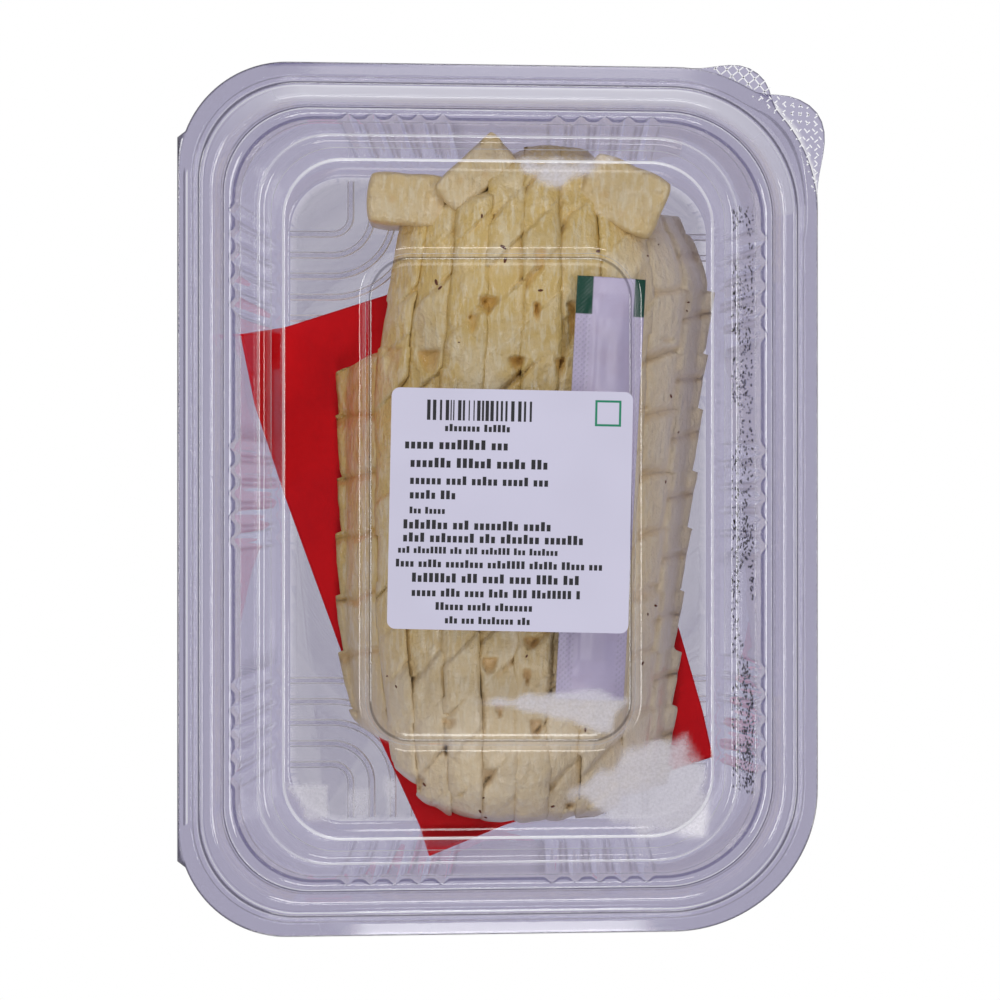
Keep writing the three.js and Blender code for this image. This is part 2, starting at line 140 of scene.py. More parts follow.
# Opening tabs, as in the part
TRAY_TAB = [(45, 84), (42.8, 90.4), (50.3, 91.3), (53, 90.6), (56, 88), (58.1, 85.6), (55, 80)]
LID_TAB = [
    (55, 79), (58.4, 85.4), (64.8, 83.3), (67.5, 80.8), (68.6, 77.6),
    (68.6, 74.9), (66.9, 66.3), (65.8, 55), (62, 56),
]

# Flutes in the tray's wall, in groups
FLUTES_PER_GROUP = 5
FLUTE_PITCH = 4.95
FLUTE_SHARE = 0.72
FLUTE_DEPTH = 1.2
FLUTE_STEPS = 8
FLUTE_TOP, FLUTE_FOOT = 10.2, 19.6
# Painted shade in the valleys between flutes
VALLEY_SHADE_LOOK = -0.35
VALLEY_TOP, VALLEY_FOOT = 12.2, 18.0

# Where each group starts along its side, from -1 to 1, and half of each side's straight run
FLUTE_GROUPS = [[-0.986, 0.223], [-0.99, -0.205, 0.595], [-0.87, 0.31], [-0.99, -0.2, 0.56]]
SIDE_HALF_RUNS = [36.3, 63.0, 36.3, 57.5]

# The fruit, as in the part
FRUIT_LEFT = -33.6
SLICE_WIDTHS = [8.0, 6.0, 8.0, 8.0, 8.2, 7.4, 8.0, 9.6, 11.2]
SLICE_TOP_ENDS = [31, 61, 62, 64, 73, 77, 75.5, 62, 62]
SLICE_BOTTOM_ENDS = [-51, -61, -67, -69, -70, -70, -69.5, -68.5, -64]
SLICE_DROPS = [1.5, 0, 1.2, 0, 0.9, 0, 1.1, 0, 0.8]
SLICE_COUNT = len(SLICE_WIDTHS)
FRUIT_HEIGHT = 37.0
FRUIT_MIDDLE = 3.2
FRUIT_HALF_LENGTH = 78.0
FRUIT_END_POWER = 8
FRUIT_SIDE_POWER = 2.6
LEAST_HEIGHT = 9.0
LEAN = 7.0
LEAN_START = 22.0
LEAN_END = 66.0
LEANING_SLICES = 5
TOE_IN = 4.5
TOE_IN_START = -24.0
TOE_IN_END = -64.0
SPREAD = 5.5
SPREAD_SPAN = 60.0
SHOULDER = 9.0
SHOULDER_START = 44.0
SHOULDER_END = 66.0
GROOVE_START = -42.7
GROOVE_PITCH = 19.8
GROOVE_SHIFT = 3.0
GROOVE_DEPTH = 1.6
FLANK_GROOVE_START = -46.0
FLANK_GROOVE_PITCH = 12.8
FLANK_GROOVE_ANGLE = 12.0
BLOCK_STEP = 1.2

# Clear plastic, with painted dark shade and painted white highlights on its bends, and fog
PAINTED_BEND_SHADE = (0.05, 0.04, 0.08)
PAINTED_BEND_SHADE_SHARE = 0.8
PAINTED_BEND_HIGHLIGHT = (0.97, 0.97, 1.0)
PAINTED_BEND_HIGHLIGHT_SHARE = 0.75
GLOSS_ROUGHNESS = 0.05
PLASTIC_IOR = 1.45
TWO_SKINS = 1.8
SPECKLE_SHARE = 0.35
FOG_COLOUR = (0.97, 0.95, 1.0)

# Flesh colours
BLOCK_RIPENESS = 0.7
PALE_FLESH = (0.88, 0.72, 0.43)
RIPE_FLESH = (0.78, 0.56, 0.20)
FIBRE_SHARE = 0.55
FIBRE_COLOUR = (0.95, 0.84, 0.58)

# Colours over the flesh: the mesh's mark, its strength and its colour. The seam colour is painted shade in
# the gaps between slices and on their sides; the groove colour is painted shade in the cuts and creases,
# partly the flesh's own deeper amber there.
FLESH_TONES = [
    ("seam", 0.8, (0.66, 0.46, 0.13)),
    ("groove", 0.9, (0.74, 0.44, 0.10)),
    ("pale", 0.75, (0.85, 0.74, 0.60)),
]

# Slices
WALL_REST = 0.5
SLICE_FLOOR = 2.0
SLICE_CLEARANCE = 1.4
SLICE_TOP_COLUMNS = 18
SLICE_SIDE_LEVELS = 8
SLICE_ROW_STEP = 0.45
END_ROUNDING = 3.0
END_REACH = 7.0
END_LENGTHENING = [0, 2.0, 3.0, 2.0, 0.5, 0, 0, 2.0, 0]
END_RAGGEDNESS = 1.3
MOST_SLANT = 1.8
SLICE_PRESS = 0.4
EDGE_JOG = 1.0
EDGE_DROP = 0.9
LONG_CUT_PLACE, LONG_CUT_WIDTH, LONG_CUT_DEPTH = 0.1, 0.09, 1.6
NOTCH_DEPTH = 2.4

# How strong the cuts and the steps between blocks are, and how much painted shade the creases get, on the two
# outer slices and on those between
OUTER_RELIEF = {
    "groove": 0.4, "crease_width": 0.9, "crease_depth": 1.9, "crease_shade": 0.6, "block_step": 2.2,
}
INNER_RELIEF = {
    "groove": 1.0, "crease_width": 0.5, "crease_depth": 0.35, "crease_shade": 0.2, "block_step": 1.7,
}

# Notches that show from above, darkened with amber painted shade: x, y, half width, half length and strength
NOTCHES = [
    (-14.5, 28.6, 2.9, 3.2, 0.75),
    (-22.6, 29.0, 2.6, 3.4, 0.5),
    (-5.3, 36.5, 1.2, 2.6, 0.6),
    (-2.0, 40.5, 2.4, 2.4, 0.8),
    (8.7, 49.6, 1.5, 3.4, 0.6),
    (3.8, 28.2, 2.0, 1.9, 0.9),
    (8.1, 39.2, 0.9, 2.4, 1.0),
    (15.6, 36.5, 1.0, 5.6, 0.9),
    (12.8, 27.5, 1.5, 2.4, 0.6),
    (-1.7, -35.3, 2.1, 2.2, 0.9),
    (7.0, -30.4, 2.2, 1.6, 1.0),
    (6.2, -37.8, 0.9, 2.3, 0.9),
    (-10.2, -47.4, 1.7, 1.3, 0.7),
    (0.2, -44.8, 1.0, 2.3, 0.8),
    (8.1, -48.7, 1.6, 2.5, 1.0),
    (-1.9, -59.0, 1.9, 2.2, 0.8),
    (-16.6, -61.9, 0.9, 3.2, 1.0),
    (-10.9, -53.3, 1.0, 1.8, 1.0),
    (15.3, -65.7, 1.7, 1.2, 0.9),
    (-30.4, -22.5, 1.5, 1.2, 0.5),
    (-19.5, -3.0, 1.6, 2.0, 0.5),
    (36.0, 33.5, 2.0, 0.9, 0.5),
    (30.5, 19.0, 1.8, 0.9, 0.5),
    (33.0, -18.5, 1.6, 0.8, 0.7),
    (33.5, -27.0, 1.8, 1.6, 0.6),
]

# Brown specks in the flesh: x, y and length
SPECKS = [
    (-2.8, 74.6, 1.6), (-13.0, 45.8, 1.5), (-12.2, 44.6, 1.2), (1.1, 53.0, 1.6), (1.5, 50.3, 1.5),
    (8.9, 43.9, 1.2), (36.8, 22.0, 1.0), (38.5, 14.3, 0.7), (36.4, 5.4, 0.8), (35.7, 3.7, 0.8),
    (40.6, 42.0, 0.7), (40.3, 40.2, 0.6), (34.0, 54.0, 0.6), (31.6, 51.5, 0.7), (-3.4, 59.6, 1.0),
    (20.9, 52.2, 1.4), (-3.8, -66.0, 1.0), (-3.0, -63.0, 0.7), (-2.6, -67.4, 0.8), (18.4, -48.6, 1.0),
    (-23.4, -37.4, 0.7), (-21.5, -39.6, 0.9), (30.6, -34.9, 1.2), (33.4, -22.6, 1.1), (31.8, -24.4, 0.8),
    (11.6, -65.0, 1.0), (-15.6, -60.4, 1.1), (6.0, -33.0, 0.9), (-8.2, 33.0, 0.6), (-27.3, 9.0, 0.6),
    (14.8, -26.5, 0.9), (0.6, -26.0, 0.5),
]

SPECK_TURN = 1.9
SPECK_SINK = 0.15
SPECK_RISE = 0.4
SPECK_PEAK = 0.28

# Small domes, the specks and the water beads
DOME_RING = 8
DOME_LEVELS = 3

# Broken slice ends: node, centre, length, width, height, turn, and the tilt of the top along and across
BROKEN_ENDS = [
    ("slice_end_crosswise", (-19.2, 63.4), 17.0, 11.2, 32.0, -4.0, 0.05, 0.12),
    ("slice_end_leaning", (-4.8, 68.8), 17.6, 8.6, 34.0, 43.0, 0.16, 0.10),
    ("slice_end_block", (26.4, 64.2), 18.0, 13.4, 33.0, -24.0, -0.14, 0.16),
]
BROKEN_END_STEP = 0.42
BROKEN_END_CLEARANCE = 1.3
BROKEN_END_ROUNDING = 2.0
BROKEN_END_SQUARENESS = 8.0
BROKEN_END_PALENESS = 0.35

# Pad: the corners of its two long edges, and its cover
PAD_RIGHT_EDGE = [(10.0, 55.0), (39.2, -28.4), (44.2, -45.8), (46.4, -55.6)]
PAD_LEFT_EDGE = [(-54.0, 34.6), (-51.5, 20.0), (-46.0, 0.5), (-32.7, -36.0), (-14.6, -75.6)]
PAD_SIZE = (66, 118)
PAD_LIFT = 0.35
PAD_THICKNESS = 0.5
PAD_STEP = 0.6
DIMPLE_PITCH = 7.2
DIMPLE_RADIUS = 1.1
DIMPLE_HEIGHT = 0.28

# Sachet
SACHET_WIDTH = 14.5
SACHET_LENGTH = 89.0
SACHET_CENTRE = (21.6, 2.2)
SACHET_TURN = -3.0
SACHET_CLEARANCE = 0.5
SACHET_SWELL = 1.5
SACHET_STEP = 0.3
SEAM_WIDTH = 3.3
LEFT_SEAM_WIDTH, RIGHT_SEAM_WIDTH = 3.6, 2.3
PRINT_LENGTH = 8.0
CRIMP_PITCH = 1.2

# Label
LABEL_SIZE = 50.0
LABEL_CORNER = 1.7
LABEL_BOTTOM = 55.22
LABEL_THICKNESS = 0.16
INK_THICKNESS = 0.02
LABEL_CENTRE = (2.5, -2.3)
LABEL_TURN = -1.2

# Plain print on the label: a block of bars, rows of small marks and an empty square
PRINT_SEED = 7
BAR_BLOCK = (-17.6, 4.8, 18.4, 22.6)
BAR_WIDTHS = [0.25, 0.45, 0.7]
BAR_SPACES = [0.3, 0.5, 0.75]

# Rows of marks: height on the label, start, length and size
MARK_ROWS = [
    (16.6, -13.8, 14.5, 1.5),
    (13.0, -22.0, 21.0, 2.0),
    (9.2, -20.8, 28.5, 2.0),
    (5.6, -20.8, 28.5, 1.8),
    (2.6, -20.8, 9.0, 1.8),
    (-0.6, -20.8, 7.5, 1.4),
    (-3.6, -22.0, 30.0, 1.9),
    (-6.3, -22.0, 39.0, 1.9),
    (-8.8, -23.0, 33.0, 1.4),
    (-11.6, -23.4, 43.0, 1.6),
    (-14.6, -20.0, 34.0, 1.9),
    (-17.6, -20.0, 35.0, 1.7),
    (-20.4, -15.0, 21.0, 1.6),
    (-23.2, -13.0, 17.0, 1.5),
]
GREEN_MARK = (19.9, 20.5, 5.4)
GREEN_LINE = 0.45
MARK_HEIGHTS = [0.72, 0.72, 1.0]
MARK_DROP = 0.31
MARK_WIDTH = 0.42
MARK_SPACE = 0.2
WORD_SPACE = 0.45

# Ridges in the tray's floor corners
RIDGE_COUNT = 5
RIDGE_PITCH = 4.55
RIDGE_HALF_WIDTH = 0.75
RIDGE_HEIGHT = 0.3
RIDGE_FIRST_RADIUS = 4.0
RIDGE_CORNER = (-45.5, -72.0)
RIDGE_BEND_CENTRE = (-35.8, -61.5)

# Cross-section of a ridge: share of the half width, share of the height, and the strength of its painted
# white highlight
RIDGE_SECTION = [
    (-1.0, -0.3, 0.0),
    (-1.0, 0.0, 1.3),
    (-0.9, 0.8, 1.3),
    (-0.66, 1.0, 1.3),
    (-0.5, 1.0, 0.0),
    (0.5, 1.0, 0.0),
    (0.66, 1.0, 1.3),
    (0.9, 0.8, 1.3),
    (1.0, 0.0, 1.3),
    (1.0, -0.3, 0.0),
]

# Water beads on the tray's free-side wall
BEAD_COUNT = 1200
BEAD_SEED = 23
BEAD_INSETS = (13.2, 17.0)
BEAD_REACH = 62
BEAD_RADII = (0.12, 0.38)
BEAD_AXIS = (-0.978, 0, 0.207)
BEAD_FLATNESS = 0.6

# Fog under the lid: polygons in millimetres, with a strength and the width of their soft edge
FOG_HEIGHT = 53.3
FOG_THICKNESS = 0.04
FOG_SPACING = 0.12
FOG_STEP = 0.8
FOG_MARGIN = 1.5
FOG_PATCHES = [
    ([(-3, -51.6), (29.5, -70.3), (42.9, -69.8), (43.9, -58), (36.9, -44.5), (29.5, -49.5)], 0.55, 2.6),
    ([(-6.8, -41.8), (21.2, -38.1), (27.0, -41.6), (23.7, -48.9)], 0.6, 1.6),
    ([(2.5, 71.5), (25.3, 71.5), (22, 67.5), (12.9, 63.6), (4.6, 67.0)], 0.7, 2.6),
    ([(27, -71.5), (44, -71), (46, -58), (38, -62)], 0.35, 3.0),
    ([(-44.0, -58.8), (-34.9, -58.9), (-34.9, -66.5), (-39.6, -66.5), (-43.8, -60.0)], 0.45, 0.8),
    ([(-31.7, -59.5), (-26.0, -59.5), (-26.0, -67.0), (-31.7, -67.0)], 0.3, 1.8),
    ([(-23.6, -57.5), (-20.6, -57.5), (-21.0, -66.0), (-23.4, -66.0)], 0.4, 1.0),
]

# Grips on the opening tabs
GRIP_HALF_WIDTH = 0.13
GRIP_RISE = 0.12
GRIP_SINK = 0.02
GRIP_STEP = 0.1
GRIP_HALF_STEPS = 160
GRIP_HALF_LINES = 12
TRAY_GRIP = {"pitch": 1.7, "dash": 60.0, "space": 0.0, "angles": (38, 128)}
LID_GRIP = {"pitch": 1.3, "dash": 0.9, "space": 1.3, "angles": (40, 130)}
TRAY_GRIP_AREA = [
    (45.1, 89.8), (45.5, 90.8), (50.3, 91.0), (53.9, 89.9), (57.6, 86.0), (56.4, 84.6), (51.2, 87.0),
]
LID_GRIP_AREA = [
    (60.6, 83.9), (64.6, 82.6), (67.0, 80.4), (68.0, 77.5), (68.2, 73.0), (67.2, 67.5),
    (66.2, 63.4), (64.6, 70.0), (62.4, 75.7), (58.5, 80.5), (53.0, 84.6), (55.0, 85.2),
]

# Lights in metres and watts: name, place, size and power
LIGHTS = [
    ("soft_left", (-0.8, 0.12, 1.12), (0.5, 0.5), 5.0),
    ("soft_right", (0.8, -0.1, 1.12), (0.5, 0.5), 4.8),
    ("soft_top", (0.05, 0.88, 1.12), (0.5, 0.5), 5.4),
    ("soft_bottom", (-0.05, -0.88, 1.1), (0.5, 0.5), 4.8),
    ("strip_near_rim", (0.0, -0.18, 1.31), (0.12, 0.03), 0.07),
    ("strip_far_rim", (0.0, 0.172, 1.31), (0.16, 0.04), 0.04),
]

# Strength of the surroundings, from the horizon to overhead
SKY_RAMP = {"From Min": 0.0, "From Max": 0.55, "To Min": 0.95, "To Max": 0.05}
FLOOR_HALF_SIZE = 3.0

# Camera, from the photograph: millimetres above the floor, and pixels per millimetre at the rim
CAMERA_HEIGHT = 1312.0
RIM_SCALE = 4.77
IMAGE_SIZE = 1000
SENSOR_WIDTH = 36.0
RIM_CENTRE_PIXEL = (498.0, 499.3)

# From the design's millimetres to the row frame: the rim's middle sits left of the box's middle
fold_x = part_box("tray")[0].x / MM
SHIFT_X = fold_x + PACK_WIDTH / 2 + STRIP_REACH


# Small helpers

def clamp01(value):
    return np.clip(value, 0.0, 1.0)


def smooth(value):
    t = clamp01(value)
    return t * t * (3 - 2 * t)


def lattice(x, y, z, seed):
    """A fixed random number from 0 to 1 for each whole-numbered place."""
    value = np.sin(x * 127.1 + y * 311.7 + z * 74.7 + seed * 53.3) * 4375.5453
    return value - np.floor(value)


def wobble(x, y, z, scale, seed=0.0):
    """Smooth noise from -1 to 1, with features of the given size in millimetres."""
    places = [np.asarray(value, float) / scale for value in (x, y, z)]
    cells = [np.floor(place) for place in places]
    shares = [smooth(place - cell) for place, cell in zip(places, cells)]
    total = 0.0
    for corner in range(8):
        steps = (corner & 1, corner >> 1 & 1, corner >> 2)
        weight = 1.0
        for step, share in zip(steps, shares):
            weight = weight * (share if step else 1 - share)
        total = total + weight * lattice(*(cell + step for cell, step in zip(cells, steps)), seed)
    return 2 * total - 1


def turned(centre, across, along, turn):
    """A place given across and along something that is turned about its centre."""
    return (
        centre[0] + across * math.cos(turn) - along * math.sin(turn),
        centre[1] + across * math.sin(turn) + along * math.cos(turn),
    )


def mesh_piece(name, points, faces, material, body, replaces=(), smooth_faces=True):
    """Makes a mesh from millimetre points and hangs it on its body."""
    points = np.asarray(points, float)
    mesh = bpy.data.meshes.new(name)
    placed = (points + np.array([SHIFT_X, 0, 0])) * MM
    mesh.from_pydata(placed.tolist(), [], [list(map(int, face)) for face in faces])
    mesh.validate()
    mesh.update()
    if smooth_faces:
        mesh.polygons.foreach_set("use_smooth", [True] * len(mesh.polygons))
    piece = bpy.data.objects.new(name, mesh)
    bpy.context.scene.collection.objects.link(piece)
    mesh.materials.append(material)
    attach(piece, body)
    if replaces:
        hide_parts(*replaces)
    return piece


def grid_piece(name, columns, rows, lower, upper, material, body, slot, replaces):
    """A closed sheet on a grid: lower and upper give a point for each place across and along."""
    width = columns + 1
    places = [(i / columns, j / rows) for j in range(rows + 1) for i in range(width)]
    low = [lower(u, v) for u, v in places]
    high = [upper(u, v) for u, v in places]
    count = len(places)
    faces = []
    for j in range(rows):
        for i in range(columns):
            a = j * width + i
            b, c, d = a + 1, a + 1 + width, a + width
            faces.append((count + a, count + b, count + c, count + d))
            faces.append((a, d, c, b))
    border = [(i, i + 1) for i in range(columns)]
    border += [(j * width + columns, (j + 1) * width + columns) for j in range(rows)]
    border += [(rows * width + i + 1, rows * width + i) for i in range(columns)]
    border += [((j + 1) * width, j * width) for j in range(rows)]
    faces += [(a, b, count + b, count + a) for a, b in border]
    return mesh_piece(name, low + high, faces, material, body, replaces), places


def add_attributes(piece, **values_by_name):
    """Marks on the mesh's points, which the materials read."""
    for name, values in values_by_name.items():
        attribute = piece.data.attributes.new(name, "FLOAT", "POINT")
        attribute.data.foreach_set("value", np.asarray(values, np.float32).ravel())


# Outlines and lofts

def perimeter_stations():
    """The places round the rim, counter-clockwise: (kind, number, position, flute height)."""
    stations = []
    corner_steps = 26
    for quarter in range(4):
        for step in range(corner_steps):
            stations.append(("corner", quarter, step / corner_steps, 0.0))
        stations.extend(side_stations(quarter, FLUTE_GROUPS[quarter], SIDE_HALF_RUNS[quarter]))
    return stations


def side_stations(side, groups, half_length):
    """Points along one side: close together in a flute group, and far apart between groups."""
    share = FLUTE_PITCH / half_length
    marks = [(-1.0, 0.0)]
    steps_between = 6
    for start in groups:
        last = marks[-1][0]
        marks += [(last + (start - last) * k / steps_between, 0.0) for k in range(1, steps_between)]
        for flute in range(FLUTES_PER_GROUP):
            for step in range(FLUTE_STEPS):
                t = step / FLUTE_STEPS
                bump = 0.5 - 0.5 * math.cos(2 * math.pi * min(t / FLUTE_SHARE, 1.0))
                marks.append((start + share * (flute + t), bump))
        marks.append((start + share * FLUTES_PER_GROUP, 0.0))
    last = marks[-1][0]
    marks += [(last + (1.0 - last) * k / steps_between, 0.0) for k in range(1, steps_between)]
    return [("side", side, t, flute) for t, flute in marks]


STATIONS = perimeter_stations()

# Painted shade in the narrow valleys between two flutes
FLUTE_VALLEY_SHADING = np.array([
    VALLEY_SHADE_LOOK if here[3] < 0.02 and (before[3] > 0.05 or after[3] > 0.05) else 0.0
    for before, here, after in zip(STATIONS[-1:] + STATIONS[:-1], STATIONS, STATIONS[1:] + STATIONS[:1])
])


def line_light():
    """Bends that run along the short sides catch the light fully, and those along the long sides less."""
    at_corner_starts = [LONG_SIDE_LIGHT, 1.0, LONG_SIDE_LIGHT, 1.0]
    lights = []
    for kind, number, t, _ in STATIONS:
        following = at_corner_starts[(number + 1) % 4]
        start = at_corner_starts[number] if kind == "corner" else following
        lights.append(start + (following - start) * t if kind == "corner" else following)
    return np.array(lights)


def band_light():
    """How much of the far short side's painted highlight band each station has: it fades round the two
    corners.
    """
    share_at_corner = {0: lambda t: 0.35 + 0.65 * t, 1: lambda t: (1 - t) ** 2}
    return np.array([
        share_at_corner[number](t) if kind == "corner" and number in share_at_corner
        else 1.0 if (kind, number) == ("side", 0) else 0.0
        for kind, number, t, _ in STATIONS
    ])


BAND_LIGHT = band_light()
LINE_LIGHT = line_light()
NO_MARKS = np.zeros(len(STATIONS))
HINGE_SIDE = np.array([1.0 if station[:2] == ("side", 1) else 0.0 for station in STATIONS])


def rounded_rectangle(left, right, bottom, top, left_radius, right_radius, flute=0.0):
    """The stations' points on a rectangle with round corners, with the flutes pushed outwards."""
    centres = [
        (right - right_radius, top - right_radius, right_radius),
        (left + left_radius, top - left_radius, left_radius),
        (left + left_radius, bottom + left_radius, left_radius),
        (right - right_radius, bottom + right_radius, right_radius),
    ]
    outward = [(0, 1), (-1, 0), (0, -1), (1, 0)]
    points = []
    for kind, number, t, bump in STATIONS:
        cx, cy, radius = centres[number]
        if kind == "corner":
            angle = (number + t) * math.pi / 2
            points.append((cx + radius * math.cos(angle), cy + radius * math.sin(angle)))
            continue
        nx, ny = outward[number]
        ox, oy, other_radius = centres[(number + 1) % 4]
        start = (cx + nx * radius, cy + ny * radius)
        end = (ox + nx * other_radius, oy + ny * other_radius)
        share = (t + 1) / 2
        push = bump * flute
        points.append((
            start[0] + (end[0] - start[0]) * share + nx * push,
            start[1] + (end[1] - start[1]) * share + ny * push,
        ))
    return np.array(points)


def taper_at(x):
    """The pack is a little shorter on its free side."""
    return 1 - SIDE_TAPER * (x + PACK_WIDTH / 2) / PACK_WIDTH


def rim_outline(inset, flute=0.0, tab=None, strip=False, side_extra=0.0):
    """The pack's outline at an inset, with flutes, a tab and the hinge strip where they are asked for."""
    outline = rounded_rectangle(
        inset + side_extra - PACK_WIDTH / 2,
        PACK_WIDTH / 2 - inset - side_extra,
        inset - PACK_LENGTH / 2,
        PACK_LENGTH / 2 - inset,
        HINGE_CORNER - HINGE_CORNER_SHRINK * inset,
        FREE_CORNER - FREE_CORNER_SHRINK * inset,
        flute,
    )
    outline[:, 1] *= taper_at(outline[:, 0])
    if tab is not None:
        add_tab(outline, tab, 1 - clamp01(inset / FLANGE_WIDTH))
    if strip:
        on_strip = (np.abs(outline[:, 1]) < STRIP_HALF_LENGTH) & (outline[:, 0] < 0)
        outline[on_strip, 0] = -PACK_WIDTH / 2 - STRIP_REACH
    return outline


def tab_corner_centre():
    """The centre of the free top corner's round, which the tabs stand out from."""
    return np.array([
        PACK_WIDTH / 2 - FREE_CORNER,
        (PACK_LENGTH / 2 - FREE_CORNER) * taper_at(PACK_WIDTH / 2),
    ])


def add_tab(outline, tab, weight):
    """Pushes the free top corner of the outline out to a tab's edge, along rays from the corner's centre."""
    centre = tab_corner_centre()
    corners = np.array(tab, float) - centre
    offset = outline - centre
    length = np.linalg.norm(offset, axis=1)
    ray = offset / length[:, None]
    reach = np.zeros(len(outline))
    for start, end in zip(corners, np.roll(corners, -1, axis=0)):
        edge = end - start
        crossing = ray[:, 0] * edge[1] - ray[:, 1] * edge[0]
        crossing[np.abs(crossing) < 1e-9] = 1e-9
        distance = (start[0] * edge[1] - start[1] * edge[0]) / crossing
        share = (start[0] * ray[:, 1] - start[1] * ray[:, 0]) / crossing
        hit = (distance > 0) & (share >= 0) & (share <= 1)
        reach = np.maximum(reach, np.where(hit, distance, 0))
    push = np.maximum(reach - length, 0)
    for _ in range(2):
        push = (np.roll(push, 1) + 2 * push + np.roll(push, -1)) / 4
    outline += ray * (push * weight)[:, None]


def panel_outline(inset):
    """The outline of the lid's raised panel."""
    return rounded_rectangle(
        PANEL_CENTRE_X - PANEL_WIDTH / 2 + inset,
        PANEL_CENTRE_X + PANEL_WIDTH / 2 - inset,
        inset - PANEL_LENGTH / 2,
        PANEL_LENGTH / 2 - inset,
        PANEL_CORNER - inset,
        PANEL_CORNER - inset,
    )


def rounded_profile(profile):
    """A profile with each corner replaced by a small curve, and the painted shade and painted highlight at
    each point.
    """
    points = [np.array(profile[0][:2])]
    looks = [profile[0][3]]
    for before, corner, after in zip(profile, profile[1:], profile[2:]):
        here = np.array(corner[:2])
        back = np.array(before[:2]) - here
        ahead = np.array(after[:2]) - here
        reach = min(corner[2], 0.45 * np.linalg.norm(back), 0.45 * np.linalg.norm(ahead))
        if reach < 1e-6:
            points.append(here)
            looks.append(corner[3])
            continue
        start = here + back / np.linalg.norm(back) * reach
        end = here + ahead / np.linalg.norm(ahead) * reach
        for step in range(ROUNDING_STEPS + 1):
            t = step / ROUNDING_STEPS
            points.append((1 - t) ** 2 * start + 2 * t * (1 - t) * here + t * t * end)
            looks.append(corner[3] * math.sin(math.pi * t))
    points.append(np.array(profile[-1][:2]))
    looks.append(profile[-1][3])
    return np.array(points), np.array(looks)


def offset_profile(points, distance):
    """Moves a profile to its underside by a distance, with mitred corners."""
    along = np.diff(points, axis=0)
    along /= np.linalg.norm(along, axis=1)[:, None]
    normals = np.column_stack([along[:, 1], -along[:, 0]])
    before = np.vstack([normals[:1], normals])
    after = np.vstack([normals, normals[-1:]])
    total = before + after
    return points + total * (distance / (1 + (before * after).sum(axis=1)))[:, None]


def loft_faces(ring_count, size):
    """Quads between neighbouring rings, and one flat face on each end."""
    faces = []
    for ring in range(ring_count - 1):
        base = ring * size
        for i in range(size):
            following = (i + 1) % size
            faces.append((base + i, base + size + i, base + size + following, base + following))
    faces.append(tuple(range(size)))
    faces.append(tuple(range(ring_count * size - 1, (ring_count - 1) * size - 1, -1)))
    return faces


def stack(outlines, heights):
    """The points of outlines laid at their heights."""
    rings = [np.column_stack([outline, np.full(len(outline), z)]) for outline, z in zip(outlines, heights)]
    return np.vstack(rings)


# Material building blocks

class Nodes:
    """A short way to write a node tree."""

    def __init__(self, name):
        self.material = bpy.data.materials.new(name)
        self.material.use_nodes = True
        self.tree = self.material.node_tree
        self.tree.nodes.clear()
        self.output = self.tree.nodes.new("ShaderNodeOutputMaterial")

    def add(self, kind, values=None):
        node = self.tree.nodes.new(kind)
        for key, value in (values or {}).items():
            if hasattr(node, key) and key not in node.inputs:
                setattr(node, key, value)
            else:
                node.inputs[key].default_value = value
        return node

    def link(self, source, node, key):
        """Joins a node or one of its outputs to an input, or sets the input to a plain value."""
        if isinstance(source, (int, float, tuple)):
            node.inputs[key].default_value = source
            return
        socket = source if isinstance(source, bpy.types.NodeSocket) else source.outputs[0]
        self.tree.links.new(socket, node.inputs[key])

    def maths(self, operation, first, second, clamp=False):
        node = self.add("ShaderNodeMath", {"operation": operation, "use_clamp": clamp})
        self.link(first, node, 0)
        self.link(second, node, 1)
        return node

    def noise(self, place, scale, detail, roughness=0.5):
        node = self.add("ShaderNodeTexNoise", {"Scale": scale, "Detail": detail, "Roughness": roughness})
        self.link(place, node, "Vector")
        return node

    def mix_colour(self, factor, first, second):
        node = self.add("ShaderNodeMix", {"data_type": "RGBA"})
        for key, value in ((0, factor), (6, first), (7, second)):
            self.link(value, node, key)
        return node.outputs[2]

    def ramp(self, source, low, high):
        limits = {"interpolation_type": "SMOOTHSTEP", "From Min": low, "From Max": high}
        node = self.add("ShaderNodeMapRange", limits)
        self.link(source, node, "Value")
        return node

    def attribute(self, name):
        """One of the marks on the mesh's points."""
        return self.add("ShaderNodeAttribute", {"attribute_name": name}).outputs["Fac"]

    def scaled(self, source, factor):
        return self.maths("MULTIPLY", source, factor, clamp=True)

    def mix_shader(self, factor, first, second):
        node = self.add("ShaderNodeMixShader")
        for key, value in enumerate((factor, first, second)):
            self.link(value, node, key)
        return node

    def bump(self, height, strength, distance):
        node = self.add("ShaderNodeBump", {"Strength": strength, "Distance": distance})
        self.link(height, node, "Height")
        return node

    def surface(self, base, relief, values):
        """Finishes the tree with an opaque surface: its base colour, its bump and its plain values."""
        skin = self.add("ShaderNodeBsdfPrincipled", values)
        self.link(base, skin, "Base Color")
        self.link(relief, skin, "Normal")
        return self.done(skin)

    def done(self, shader):
        self.link(shader, self.output, "Surface")
        return self.material


def colour(red, green, blue):
    return (red, green, blue, 1.0)


def object_position(nodes, scale=(1, 1, 1)):
    place = nodes.add("ShaderNodeTexCoord")
    mapping = nodes.add("ShaderNodeMapping", {"Scale": scale})
    nodes.link(place.outputs["Object"], mapping, "Vector")
    return mapping


